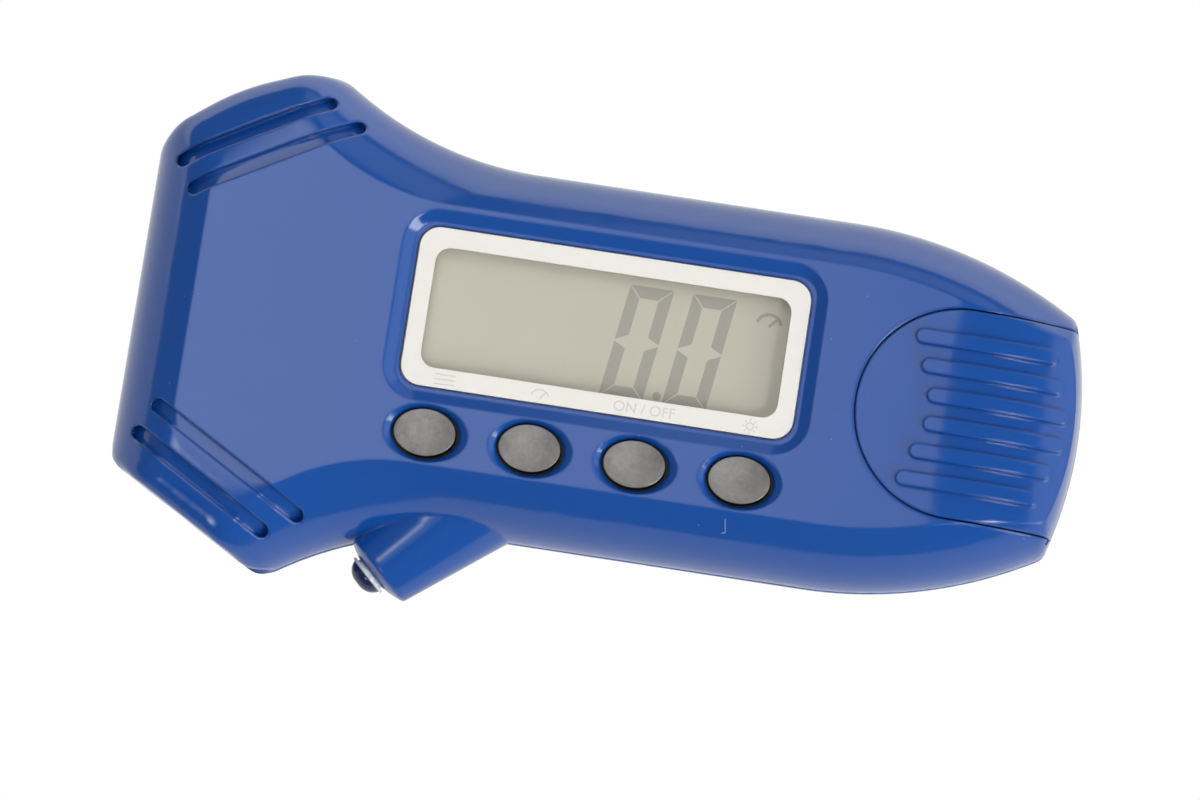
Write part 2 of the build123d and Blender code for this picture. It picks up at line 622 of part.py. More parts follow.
def front_shell():
    """Upper shell: display recess, button dishes, grooves, battery bay and half the nozzle."""
    outer = front_form(0)
    cavity = front_form(WALL)
    shell = outer + above_joint(torch_cone())
    shell -= cavity
    shell -= torch_hollow()
    shell += above_joint(torch_sleeve())
    shell -= chuck_hole()
    recess_low = Pos(DISPLAY_X, DISPLAY_Y, RECESS_Z) * RectangleRounded(
        BEZEL_LENGTH + 2 * BEZEL_CLEARANCE + 1.0, BEZEL_WIDTH + 2 * BEZEL_CLEARANCE + 1.0,
        BEZEL_CORNER + BEZEL_CLEARANCE)
    recess_high = Pos(DISPLAY_X, DISPLAY_Y, PLATEAU_Z) * RectangleRounded(
        BEZEL_LENGTH + 2 * RECESS_SLOPE, BEZEL_WIDTH + 2 * RECESS_SLOPE,
        BEZEL_CORNER + RECESS_SLOPE)
    shell -= loft([recess_low.face(), recess_high.face()])
    shell -= rounded_plate(BEZEL_LENGTH + 2 * BEZEL_CLEARANCE, BEZEL_WIDTH + 2 * BEZEL_CLEARANCE,
                           BEZEL_CORNER + BEZEL_CLEARANCE, DISPLAY_X, DISPLAY_Y,
                           (JOINT_Z, PLATEAU_Z))
    hole_length = CAP_LENGTH + 2 * CAP_GAP_LENGTH
    hole_width = CAP_WIDTH + 2 * CAP_GAP_WIDTH
    for x in button_places():
        shell -= ellipse_column(hole_length, hole_width, x, BUTTON_Y, (JOINT_Z, PLATEAU_Z))
        shell -= ellipse_dish(hole_length, hole_width, DISH_RIM, DISH_RIM_WIDTH, x, BUTTON_Y,
                              (PLATEAU_Z - DISH_DEPTH, PLATEAU_Z))
    core = front_form(GROOVE_DEPTH)
    for ends in (INNER_GROOVE, OUTER_GROOVE):
        for mirror in (-1, 1):
            shell -= groove_cutter(ends, mirror, core)
    shell -= door_column(DOOR_GAP, (DOOR_SILL_Z - DOOR_GAP, WIDE))
    shell += battery_bay(cavity)
    shell -= tongue_block(TONGUE_CLEARANCE, (TONGUE_X[0] - TONGUE_CLEARANCE, WIDE))
    head, tail = screw_places()
    boss_radius = SCREW_SHANK_RADIUS + SCREW_PILOT_CLEARANCE + SCREW_BOSS_WALL
    pilot = SCREW_SHANK_RADIUS + SCREW_PILOT_CLEARANCE
    pilot_top = SCREW_SEAT_Z + SCREW_LENGTH + SCREW_PILOT_CLEARANCE
    for x, y in head:
        shell += cylinder_between(x, y, (JOINT_Z, CEILING_Z), boss_radius)
        shell -= cylinder_between(x, y, (JOINT_Z, pilot_top), pilot)
    for x, y in tail:
        shell += cylinder_between(x, y, (JOINT_Z, TRAY_Z), boss_radius)
        shell -= cylinder_between(x, y, (JOINT_Z, pilot_top), pilot)
    for x in POST_X:
        for y in POST_Y:
            shell += cylinder_between(x, y, (BOARD_TOP_Z, CEILING_Z), POST_RADIUS)
    return shell


def back_shell():
    """Lower shell: flat base, locating lip, screw posts, board posts and half the nozzle."""
    outer = back_form(0)
    base = outer.faces().filter_by(Plane.XY).sort_by(Axis.Z)[0]
    outer = outer.fillet(BACK_EDGE_RADIUS, base.edges())
    shell = outer + below_joint(torch_cone())
    shell -= back_form(WALL)
    lip_outside = lofted_half(FRONT_CORNERS, FRONT_RISE, WALL + LIP_CLEARANCE, 1)
    lip_inside = lofted_half(FRONT_CORNERS, FRONT_RISE, WALL + LIP_CLEARANCE + LIP_THICKNESS, 1)
    lip = (lip_outside - lip_inside) & box_between(
        (-WIDE, WIDE), (-WIDE, WIDE), (JOINT_Z, JOINT_Z + LIP_HEIGHT))
    lip_foot = below_joint(back_form(WALL) - back_form(WALL + LIP_CLEARANCE + LIP_THICKNESS))
    lip_foot &= box_between((-WIDE, WIDE), (-WIDE, WIDE), (JOINT_Z - LIP_HEIGHT, JOINT_Z))
    shell += lip_foot + lip
    shell -= torch_hollow()
    clear_cone = TORCH_PLANE * turned([
        (0, 0), (TORCH_RADIUS + LIP_CLEARANCE, 0),
        (TORCH_RADIUS + LIP_CLEARANCE + TORCH_LENGTH * TORCH_SPREAD, TORCH_LENGTH),
        (0, TORCH_LENGTH)])
    shell -= above_joint(clear_cone)
    shell += below_joint(torch_sleeve())
    shell -= chuck_hole()
    collar_room = COLLAR_RADIUS + LIP_CLEARANCE
    collar_mouth = collar_room + 3 * WALL * tan(radians(CHUCK_HOLE_DRAFT))
    shell -= CHUCK_PLANE * turned([(0, WALL), (collar_room, WALL), (collar_mouth, 4 * WALL),
                                   (0, 4 * WALL)])
    head, tail = screw_places()
    hole = SCREW_SHANK_RADIUS + SCREW_CLEARANCE
    recess = SCREW_HEAD_RADIUS + SCREW_HEAD_CLEARANCE
    for x, y in head + tail:
        shell += cylinder_between(x, y, (WALL / 2, JOINT_Z), recess + SCREW_BOSS_WALL)
        shell -= cylinder_between(x, y, (-WALL, SCREW_SEAT_Z), recess)
        shell -= cylinder_between(x, y, (-WALL, WIDE), hole)
    for x in POST_X:
        for y in POST_Y:
            shell += cylinder_between(x, y, (WALL / 2, BOARD_BOTTOM_Z), POST_RADIUS)
    return shell


def battery_door():
    """Sliding door: curved skin, side skirts with tongues, tail lip and six grip ribs."""
    skin = (front_form(0) - front_form(DOOR_THICKNESS)) & door_column(0, (DOOR_SILL_Z, WIDE))
    cavity = front_form(DOOR_THICKNESS)
    inner = DOOR_RADIUS - DOOR_SKIRT
    skirt_z = (TRAY_TOP_Z + TONGUE_CLEARANCE, WIDE)
    skirts = box_between(TONGUE_X, (inner, DOOR_RADIUS), skirt_z)
    skirts += box_between(TONGUE_X, (-DOOR_RADIUS, -inner), skirt_z)
    door = skin + (skirts & cavity) + tongue_block(0, TONGUE_X)
    raised = front_form(-RIB_HEIGHT) - front_form(DOOR_THICKNESS / 2)
    middle = (RIB_COUNT - 1) / 2
    for i in range(RIB_COUNT):
        rank = abs(i - middle) - 0.5
        x = DOOR_X - RIB_START - rank * RIB_STEP + RIB_LENGTH / 2
        rib = Pos(x, (i - middle) * RIB_PITCH, JOINT_Z) * extrude(
            SlotOverall(RIB_LENGTH, RIB_WIDTH), 2 * FRONT_RISE)
        door += rib & raised & box_between((-WIDE, WIDE), (-WIDE, WIDE), (DOOR_SILL_Z, WIDE))
    return door


def display_bezel():
    """Satin frame held behind the wall by its flange, with a seat for the window."""
    plate = rounded_plate(BEZEL_LENGTH, BEZEL_WIDTH, BEZEL_CORNER, DISPLAY_X, DISPLAY_Y,
                          (CEILING_Z, BEZEL_TOP_Z))
    plate = fillet(plate.edges().group_by(Axis.Z)[-1], BEZEL_PROUD / 2)
    flange = rounded_plate(BEZEL_LENGTH + 2 * BEZEL_FLANGE, BEZEL_WIDTH + 2 * BEZEL_FLANGE,
                           BEZEL_CORNER, DISPLAY_X, DISPLAY_Y, (BEZEL_BOTTOM_Z, CEILING_Z))
    sight = rounded_plate(SIGHT_LENGTH, SIGHT_WIDTH, SIGHT_CORNER, DISPLAY_X, DISPLAY_Y,
                          (BEZEL_BOTTOM_Z, PLATEAU_Z))
    seat = rounded_plate(SIGHT_LENGTH + 2 * SIGHT_LEDGE, SIGHT_WIDTH + 2 * SIGHT_LEDGE,
                         SIGHT_CORNER, DISPLAY_X, DISPLAY_Y,
                         (BEZEL_BOTTOM_Z, BEZEL_TOP_Z - WINDOW_DEPTH))
    return plate + flange - sight - seat


def display_window():
    """Clear window behind the ledge of the bezel."""
    return rounded_plate(SIGHT_LENGTH + 2 * (SIGHT_LEDGE - WINDOW_FIT),
                         SIGHT_WIDTH + 2 * (SIGHT_LEDGE - WINDOW_FIT), SIGHT_CORNER,
                         DISPLAY_X, DISPLAY_Y, (BEZEL_BOTTOM_Z, BEZEL_TOP_Z - WINDOW_DEPTH))


def lcd_panel():
    """Liquid crystal panel: two sheets of glass, the upper one wider at the contact ledge."""
    half = LCD_THICKNESS / 2
    x = (DISPLAY_X - LCD_LENGTH / 2, DISPLAY_X + LCD_LENGTH / 2)
    y = (DISPLAY_Y - LCD_WIDTH / 2, DISPLAY_Y + LCD_WIDTH / 2)
    upper = box_between(x, y, (LCD_BOTTOM_Z + half, LCD_TOP_Z))
    lower = box_between(x, (y[0], y[1] - LCD_LEDGE), (LCD_BOTTOM_Z, LCD_BOTTOM_Z + half))
    return upper + lower


def backlight_plate():
    """Light plate under the glass."""
    x = (DISPLAY_X - LCD_LENGTH / 2, DISPLAY_X + LCD_LENGTH / 2)
    y = (DISPLAY_Y - LCD_WIDTH / 2, DISPLAY_Y + LCD_WIDTH / 2 - LCD_LEDGE - LCD_FIT - LCD_FRAME_WALL)
    plate = box_between(x, y, (BACKLIGHT_BOTTOM_Z, LCD_BOTTOM_Z))
    return chamfer(plate.edges().filter_by(Axis.Z), LCD_FRAME_WALL / 2)


def lcd_frame():
    """Frame that holds the glass, light plate and connector strip over the board."""
    x = (DISPLAY_X - LCD_LENGTH / 2 - LCD_FIT, DISPLAY_X + LCD_LENGTH / 2 + LCD_FIT)
    y = (DISPLAY_Y - LCD_WIDTH / 2 - LCD_FIT, DISPLAY_Y + LCD_WIDTH / 2 + LCD_FIT)
    block = box_between((x[0] - LCD_FRAME_WALL, x[1] + LCD_FRAME_WALL),
                        (y[0] - LCD_FRAME_WALL, y[1] + LCD_FRAME_WALL),
                        (BOARD_TOP_Z, BEZEL_BOTTOM_Z))
    block = chamfer(block.edges().filter_by(Axis.Z), LCD_FRAME_WALL)
    strip_edge = y[1] - LCD_LEDGE - LCD_FIT
    glass = box_between(x, y, (LCD_BOTTOM_Z, BEZEL_BOTTOM_Z))
    light = box_between(x, (y[0], strip_edge - LCD_FRAME_WALL), (BACKLIGHT_BOTTOM_Z, LCD_BOTTOM_Z))
    strip = box_between(x, (strip_edge, y[1]), (BOARD_TOP_Z, LCD_BOTTOM_Z))
    under = box_between(x, (y[0], strip_edge - LCD_FRAME_WALL),
                        (BOARD_TOP_Z, BACKLIGHT_BOTTOM_Z - LCD_FRAME_FLOOR))
    return block - glass - light - strip - under


def lcd_connector():
    """Striped rubber strip between the glass ledge and the board."""
    x = (DISPLAY_X - LCD_LENGTH / 2, DISPLAY_X + LCD_LENGTH / 2)
    top = DISPLAY_Y + LCD_WIDTH / 2
    return box_between(x, (top - LCD_LEDGE + LCD_FIT, top), (BOARD_TOP_Z, LCD_BOTTOM_Z + LCD_THICKNESS / 2))


def circuit_board():
    board = box_between(BOARD_X, BOARD_Y, (BOARD_BOTTOM_Z, BOARD_TOP_Z))
    return chamfer(board.edges().filter_by(Axis.Z), POST_RADIUS)


def tact_switches():
    """Four identical push switches soldered to the board."""
    switches = []
    for x in button_places():
        body = box_between((x - SWITCH_SIZE / 2, x + SWITCH_SIZE / 2),
                           (BUTTON_Y - SWITCH_SIZE / 2, BUTTON_Y + SWITCH_SIZE / 2),
                           (BOARD_TOP_Z, SWITCH_TOP_Z))
        body = chamfer(body.edges().filter_by(Axis.Z), SWITCH_CORNER)
        floor = SWITCH_TOP_Z - PLUNGER_DEPTH - BUTTON_TRAVEL - PLUNGER_FLOOR_GAP
        body -= cylinder_between(x, BUTTON_Y, (floor, PLATEAU_Z), PLUNGER_RADIUS + PLUNGER_CLEARANCE)
        switches.append(body)
    return Compound(switches)


def switch_plunger(x):
    return cylinder_between(x, BUTTON_Y, (SWITCH_TOP_Z - PLUNGER_DEPTH, PLUNGER_TOP_Z), PLUNGER_RADIUS)


def button_cap(hole_x):
    """Oval cap with a crowned top, a retaining flange and a stem down to its switch."""
    x = hole_x + CAP_SHIFT[0]
    y = BUTTON_Y + CAP_SHIFT[1]
    top = PLATEAU_Z + CAP_PROUD
    cap = ellipse_column(CAP_LENGTH, CAP_WIDTH, x, y, (CAP_FLANGE_TOP_Z, top))
    crown_radius = (CAP_LENGTH ** 2 / 4 + CAP_CROWN ** 2) / (2 * CAP_CROWN)
    crown = Pos(x, y, top - crown_radius) * Sphere(crown_radius)
    cap = cap & crown
    flange = ellipse_column(CAP_LENGTH + 2 * (CAP_GAP_LENGTH + CAP_FLANGE),
                            CAP_WIDTH + 2 * (CAP_GAP_WIDTH + CAP_FLANGE_WIDTH), x, y,
                            (CAP_FLANGE_TOP_Z - CAP_FLANGE_THICKNESS, CAP_FLANGE_TOP_Z))
    stem = cylinder_between(x, y, (PLUNGER_TOP_Z, CAP_FLANGE_TOP_Z - CAP_FLANGE_THICKNESS),
                            CAP_STEM_RADIUS)
    return cap + flange + stem


def coin_cell():
    """Coin cell with its stepped lower face, resting on the negative contact."""
    can = cylinder_between(DOOR_X, 0, (CELL_BOTTOM_Z + CELL_EDGE, CELL_TOP_Z), CELL_RADIUS)
    can = fillet(can.edges().group_by(Axis.Z)[-1], CELL_EDGE)
    cap = cylinder_between(DOOR_X, 0, (CELL_BOTTOM_Z, CELL_BOTTOM_Z + CELL_EDGE),
                           CELL_RADIUS - 3 * CELL_EDGE)
    return can + cap


def bent_strip(points, y):
    """Flat strip bent along a path in the XZ plane, given by both of its faces."""
    outline = Polyline(*[(x, 0, z) for x, z in points], close=True)
    strip = extrude(make_face(outline), CONTACT_WIDTH / 2, both=True, dir=(0, 1, 0))
    return Pos(0, y, 0) * strip


def negative_contact():
    """Strip under the cell, bent down to the board."""
    t = CONTACT_THICKNESS
    x = CONTACT_DROP_X
    end = DOOR_X
    foot = x - CONTACT_FOOT
    return bent_strip([(end, TRAY_TOP_Z), (end, TRAY_TOP_Z + t), (x - t, TRAY_TOP_Z + t),
                       (x - t, BOARD_TOP_Z + t), (foot, BOARD_TOP_Z + t), (foot, BOARD_TOP_Z),
                       (x, BOARD_TOP_Z), (x, TRAY_TOP_Z)], -CONTACT_Y)


def positive_contact():
    """Spring leaf against the side of the cell, bent over the wall and down to the board."""
    t = CONTACT_THICKNESS
    x = CONTACT_DROP_X
    foot = x - CONTACT_FOOT
    near = CONTACT_Y - CONTACT_WIDTH / 2
    leaf = DOOR_X - sqrt(CELL_RADIUS ** 2 - near ** 2) - t / 4
    top = CELL_TOP_Z
    low = CELL_BOTTOM_Z + CELL_EDGE
    return bent_strip([(leaf, low), (leaf, top + t), (x - t, top + t), (x - t, BOARD_TOP_Z + t),
                       (foot, BOARD_TOP_Z + t), (foot, BOARD_TOP_Z), (x, BOARD_TOP_Z), (x, top),
                       (leaf - t, top), (leaf - t, low)], CONTACT_Y)


def torch_lens():
    """Clear dome with a thin flange on the nozzle's end and a plug in its hole."""
    base = -TORCH_DOME - LENS_FLANGE_THICKNESS
    tip = base - LENS_HEIGHT
    bulge = (LENS_RADIUS * 0.72, tip + 0.30 * LENS_HEIGHT)
    dome = ThreePointArc((0, 0, tip), (bulge[0], 0, bulge[1]), (LENS_RADIUS, 0, base))
    end = -TORCH_DOME + LENS_PLUG_LENGTH
    rest = Polyline((LENS_RADIUS, 0, base), (LENS_FLANGE_RADIUS, 0, base),
                    (LENS_FLANGE_RADIUS, 0, -TORCH_DOME), (LENS_PLUG_RADIUS, 0, -TORCH_DOME),
                    (LENS_PLUG_RADIUS, 0, end), (0, 0, end), (0, 0, tip))
    return TORCH_PLANE * revolve(make_face([dome, rest]), Axis.Z, 360)


def torch_led():
    """Lamp with a domed tip and a flange, its two leads astride the edge of the board."""
    shoulder = LED_TIP + LED_RADIUS
    dome = ThreePointArc((0, 0, LED_TIP),
                         (LED_RADIUS * sin(radians(45)), 0, shoulder - LED_RADIUS * cos(radians(45))),
                         (LED_RADIUS, 0, shoulder))
    end = LED_TIP + LED_LENGTH
    rest = Polyline((LED_RADIUS, 0, shoulder), (LED_RADIUS, 0, SLEEVE_END),
                    (LED_FLANGE_RADIUS, 0, SLEEVE_END), (LED_FLANGE_RADIUS, 0, end),
                    (0, 0, end), (0, 0, LED_TIP))
    lamp = revolve(make_face([dome, rest]), Axis.Z, 360)
    for sign in (-1, 1):
        lamp += Pos(sign * LEAD_SPACING / 2, 0, end + LEAD_LENGTH / 2) * Box(
            LEAD_WIDTH, LEAD_WIDTH, LEAD_LENGTH)
    return TORCH_PLANE * lamp


def chuck_body():
    """Turned chuck: valve socket, seal pocket, air chamber and hose barb in one piece."""
    seal_start = VALVE_BORE_DEPTH
    seal_end = seal_start + SEAL_THICKNESS
    chamber_end = seal_end + CHAMBER_DEPTH
    collar = WALL + COLLAR_GAP
    barb_end = CHUCK_LENGTH + BARB_LENGTH
    bump = BARB_RADIUS + BARB_BUMP
    outside = [
        (VALVE_BORE_RADIUS + 0.4, 0), (CHUCK_RADIUS - 0.3, 0), (CHUCK_RADIUS, 0.3),
        (CHUCK_RADIUS, collar), (COLLAR_RADIUS, collar), (COLLAR_RADIUS, collar + COLLAR_THICKNESS),
        (CHUCK_RADIUS, collar + COLLAR_THICKNESS), (CHUCK_RADIUS, CHUCK_LENGTH),
        (BARB_RADIUS, CHUCK_LENGTH), (BARB_RADIUS, barb_end - 2 * BARB_BUMP - 1.0),
        (bump, barb_end - 2 * BARB_BUMP - 1.0), (BARB_RADIUS, barb_end)]
    inside = [
        (AIR_BORE_RADIUS, barb_end), (AIR_BORE_RADIUS, chamber_end),
        (PIN_BASE_RADIUS + SEAL_FIT, chamber_end), (PIN_BASE_RADIUS + SEAL_FIT, seal_end),
        (SEAL_RADIUS + SEAL_FIT, seal_end), (SEAL_RADIUS + SEAL_FIT, seal_start),
        (VALVE_BORE_RADIUS, seal_start), (VALVE_BORE_RADIUS, 0.4)]
    return CHUCK_PLANE * turned(outside + inside)


def chuck_seal():
    """Rubber seal that the tyre valve presses on."""
    start = VALVE_BORE_DEPTH
    end = start + SEAL_THICKNESS
    return CHUCK_PLANE * turned([
        (SEAL_HOLE_RADIUS + SEAL_MOUTH, start), (SEAL_RADIUS, start), (SEAL_RADIUS, end),
        (SEAL_HOLE_RADIUS, end), (SEAL_HOLE_RADIUS, start + SEAL_MOUTH)])


def valve_pin():
    """Pin that opens the tyre valve, on a vented base behind the seal."""
    back = VALVE_BORE_DEPTH + SEAL_THICKNESS + CHAMBER_DEPTH
    front = back - PIN_BASE_THICKNESS
    tip = VALVE_BORE_DEPTH + PIN_RECESS
    pin = turned([(0, tip), (PIN_RADIUS - 0.3, tip), (PIN_RADIUS, tip + 0.3), (PIN_RADIUS, front),
                  (PIN_BASE_RADIUS, front), (PIN_BASE_RADIUS, back), (0, back)])
    circle = (PIN_RADIUS + PIN_BASE_RADIUS) / 2
    for i in range(PIN_VENT_COUNT):
        turn = Rot(0, 0, i * 360 / PIN_VENT_COUNT)
        pin -= turn * Pos(circle, 0, (front + back) / 2) * Cylinder(
            PIN_VENT_RADIUS, 2 * PIN_BASE_THICKNESS)
    return CHUCK_PLANE * pin


SENSOR_TOP_Z = BOARD_BOTTOM_Z - SENSOR_STANDOFF
SENSOR_MIDDLE_Z = SENSOR_TOP_Z - SENSOR_HEIGHT / 2
SENSOR_PORT_X = SENSOR_X - SENSOR_SIZE / 2


def pressure_sensor():
    """Sensor with a side port for the air tube and two rows of leads through the board."""
    y = (SENSOR_Y - SENSOR_SIZE / 2, SENSOR_Y + SENSOR_SIZE / 2)
    body = box_between((SENSOR_PORT_X, SENSOR_PORT_X + SENSOR_SIZE), y,
                       (SENSOR_TOP_Z - SENSOR_HEIGHT, SENSOR_TOP_Z))
    body = chamfer(body.edges().filter_by(Axis.Z), 2 * BARB_BUMP)
    tip = SENSOR_PORT_X - BARB_LENGTH
    bump = BARB_RADIUS + BARB_BUMP
    start = BARB_LENGTH - 2 * BARB_BUMP - 1.0
    port = turned([(AIR_BORE_RADIUS, 0), (BARB_RADIUS, 0), (BARB_RADIUS, start), (bump, start),
                   (BARB_RADIUS, BARB_LENGTH), (AIR_BORE_RADIUS, BARB_LENGTH)])
    body += Plane(origin=(SENSOR_PORT_X, SENSOR_Y, SENSOR_MIDDLE_Z), z_dir=(-1, 0, 0)) * port
    body -= Pos((tip + SENSOR_X) / 2, SENSOR_Y, SENSOR_MIDDLE_Z) * Rot(0, 90, 0) * Cylinder(
        AIR_BORE_RADIUS, SENSOR_X - tip)
    for i in range(SENSOR_LEAD_COUNT):
        x = SENSOR_X + (i - (SENSOR_LEAD_COUNT - 1) / 2) * SENSOR_LEAD_PITCH
        for edge in y:
            inward = SENSOR_LEAD_WIDTH if edge < SENSOR_Y else -SENSOR_LEAD_WIDTH
            body += box_between((x - SENSOR_LEAD_WIDTH / 2, x + SENSOR_LEAD_WIDTH / 2),
                                sorted((edge, edge + inward)), (SENSOR_TOP_Z, BOARD_BOTTOM_Z))
    return body


def air_tube():
    """Soft tube from the chuck's barb to the sensor's port: straight runs and arcs."""
    start = CHUCK_PLANE.from_local_coords((0, 0, CHUCK_LENGTH + TUBE_FIT))
    ahead = CHUCK_PLANE.from_local_coords((0, 0, CHUCK_LENGTH + 2.75 * BARB_LENGTH))
    end = Vector(SENSOR_PORT_X - TUBE_FIT, SENSOR_Y, SENSOR_MIDDLE_Z)
    before = Vector(SENSOR_PORT_X - 2.2 * BARB_LENGTH, SENSOR_Y, SENSOR_MIDDLE_Z)
    radii = []
    points = [start, ahead, before, end]
    for i in (1, 2):
        turn = (points[i] - points[i - 1]).get_angle(points[i + 1] - points[i])
        shorter = min((points[i] - points[i - 1]).length, (points[i + 1] - points[i]).length)
        radii.append(0.45 * shorter / tan(radians(turn / 2)))
    route = FilletPolyline(*points, radius=radii)
    inner = BARB_RADIUS + BARB_BUMP + TUBE_FIT
    ring = Plane(origin=start, z_dir=CHUCK_BACK) * (Circle(inner + TUBE_WALL) - Circle(inner))
    return sweep(ring, path=route)


def controller_chip():
    chip = box_between((CHIP_X - CHIP_SIZE / 2, CHIP_X + CHIP_SIZE / 2),
                       (CHIP_Y - CHIP_SIZE / 2, CHIP_Y + CHIP_SIZE / 2),
                       (BOARD_BOTTOM_Z - CHIP_HEIGHT, BOARD_BOTTOM_Z))
    return chamfer(chip.edges().group_by(Axis.Z)[0], CHIP_HEIGHT / 4)


def board_components():
    """Row of small parts soldered to the underside of the board."""
    length, width, height = SMALL_PART
    parts = []
    for i in range(SMALL_PART_COUNT):
        x = CHIP_X + (i - (SMALL_PART_COUNT - 1) / 2) * SMALL_PART_PITCH
        body = box_between((x - width / 2, x + width / 2),
                           (SMALL_PART_Y - length / 2, SMALL_PART_Y + length / 2),
                           (BOARD_BOTTOM_Z - height, BOARD_BOTTOM_Z))
        parts.append(chamfer(body.edges().group_by(Axis.Z)[0], height / 8))
    return Compound(parts)


def housing_screws():
    """Four identical self-tapping screws with cross recesses. Their threads are left out."""
    screws = []
    head, tail = screw_places()
    for x, y in head + tail:
        screw = cylinder_between(x, y, (SCREW_SEAT_Z - SCREW_HEAD_HEIGHT, SCREW_SEAT_Z),
                                 SCREW_HEAD_RADIUS)
        screw = fillet(screw.edges().group_by(Axis.Z)[0], SCREW_HEAD_HEIGHT / 3)
        tip = SCREW_SEAT_Z + SCREW_LENGTH
        shank = cylinder_between(x, y, (SCREW_SEAT_Z, tip), SCREW_SHANK_RADIUS)
        screw += chamfer(shank.edges().group_by(Axis.Z)[-1], SCREW_SHANK_RADIUS / 2)
        face = SCREW_SEAT_Z - SCREW_HEAD_HEIGHT
        for angle in (0, 90):
            screw -= Pos(x, y, face + DRIVE_DEPTH / 2) * Rot(0, 0, angle) * Box(
                SCREW_HEAD_RADIUS, DRIVE_WIDTH, DRIVE_DEPTH)
        screws.append(screw)
    return Compound(screws)


def save(name, shape):
    export_step(shape, f"parts/{name}.step")


save("front_shell", front_shell())
save("back_shell", back_shell())
save("battery_door", battery_door())
save("display_bezel", display_bezel())
save("display_window", display_window())
save("lcd_panel", lcd_panel())
save("backlight_plate", backlight_plate())
save("lcd_frame", lcd_frame())
save("lcd_connector", lcd_connector())
save("circuit_board", circuit_board())
save("controller_chip", controller_chip())
save("board_components", board_components())
save("tact_switches", tact_switches())
for name, x in zip(BUTTON_NAMES, button_places()):
    save(f"{name}_button", button_cap(x))
    save(f"{name}_plunger", switch_plunger(x))
save("coin_cell", coin_cell())
save("positive_contact", positive_contact())
save("negative_contact", negative_contact())
save("torch_lens", torch_lens())
save("torch_led", torch_led())
save("chuck_body", chuck_body())
save("chuck_seal", chuck_seal())
save("valve_pin", valve_pin())
save("air_tube", air_tube())
save("pressure_sensor", pressure_sensor())
save("housing_screws", housing_screws())
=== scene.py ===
import bpy
import math
from mathutils import Matrix, Vector


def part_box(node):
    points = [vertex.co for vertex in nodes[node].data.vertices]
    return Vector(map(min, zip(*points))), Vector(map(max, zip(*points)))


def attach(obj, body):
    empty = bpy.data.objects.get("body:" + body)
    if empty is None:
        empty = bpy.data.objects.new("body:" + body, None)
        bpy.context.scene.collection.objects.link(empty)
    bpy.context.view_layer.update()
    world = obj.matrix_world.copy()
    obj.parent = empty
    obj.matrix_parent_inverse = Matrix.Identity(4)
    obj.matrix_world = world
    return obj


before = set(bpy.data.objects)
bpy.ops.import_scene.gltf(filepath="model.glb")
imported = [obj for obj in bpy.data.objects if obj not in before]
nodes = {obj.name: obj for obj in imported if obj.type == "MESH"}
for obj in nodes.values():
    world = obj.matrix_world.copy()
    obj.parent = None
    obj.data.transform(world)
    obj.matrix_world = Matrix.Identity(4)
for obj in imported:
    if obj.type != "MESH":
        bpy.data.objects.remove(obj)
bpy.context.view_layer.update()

MM = 0.001


# Lower shell
# The half of the housing that lies on the table, moulded in royal blue ABS in a polished tool.
# It carries the board, the chuck and the lamp, and four screws from below hold the other half.
def srgb(text):
    """Linear colour of an sRGB hex value."""
    values = [int(text[i:i + 2], 16) / 255 for i in (1, 3, 5)]
    return tuple(v / 12.92 if v <= 0.04045 else ((v + 0.055) / 1.055) ** 2.4 for v in values) + (1,)


def surface_input(mat, key):
    return mat.node_tree.nodes["Principled BSDF"].inputs[key]


def new_material(name, **sockets):
    """Material with a Principled shader whose sockets are set by name."""
    made = bpy.data.materials.new(name)
    made.use_nodes = True
    for key, value in sockets.items():
        surface_input(made, key.replace("_", " ")).default_value = value
    return made


def add_node(mat, kind, output, inputs=None, **settings):
    """Adds a node with its settings and its values or links, and gives back one of its outputs."""
    made = mat.node_tree.nodes.new(kind)
    for key, value in settings.items():
        setattr(made, key, value)
    for key, value in (inputs or {}).items():
        if isinstance(value, bpy.types.NodeSocket):
            mat.node_tree.links.new(value, made.inputs[key])
        else:
            made.inputs[key].default_value = value
    return made.outputs[output]


def millimetres(mat, stretch=(1, 1, 1)):
    """Place on the piece in millimetres, so that the scale of a texture is a count per millimetre."""
    place = add_node(mat, "ShaderNodeTexCoord", "Object")
    return add_node(mat, "ShaderNodeMapping", "Vector",
                    {"Vector": place, "Scale": tuple(s / MM for s in stretch)})


def surface(mat, key, source):
    mat.node_tree.links.new(source, surface_input(mat, key))


def paint(node_name, mat):
    """Gives a piece of the frame its material."""
    piece = nodes[node_name]
    piece.data.materials.clear()
    piece.data.materials.append(mat)


# Polished ABS is an even colour under a clear gloss. The cooling of the thick walls leaves a faint
# orange peel, and handling leaves sparse dust and fine wiping marks that blur the gloss a little.
SHELL_BLUES = ("#0F4A9C", "#114D9E")
DUST_BLUE = "#7F93BC"
SHADE_SIZE = 16.67          # millimetres across a shade of blue
PEEL_SIZE = 2.0             # across a wave of the orange peel
PEEL_HEIGHT = 0.010
WEAR_SIZE = 6.25            # across a patch that is rubbed duller
DUST_SPACING = 1.818        # between the places where a speck may lie
DUST_RADIUS = 0.1
DUST_SHARE = (0.90, 0.91)   # only one place in ten holds a speck
MARK_HEIGHT = 0.03          # of a speck, and of the edge that a scratch throws up
WIPE_SPACING = 0.1953       # wiping marks are finer than this, and drawn as coarse as shows
WIPE_LENGTH = 2.5
WIPE_DULLS = 0.06           # what a wiping mark adds to the roughness
MOULDED_EDGE = 0.55         # the radius that a moulded edge shows


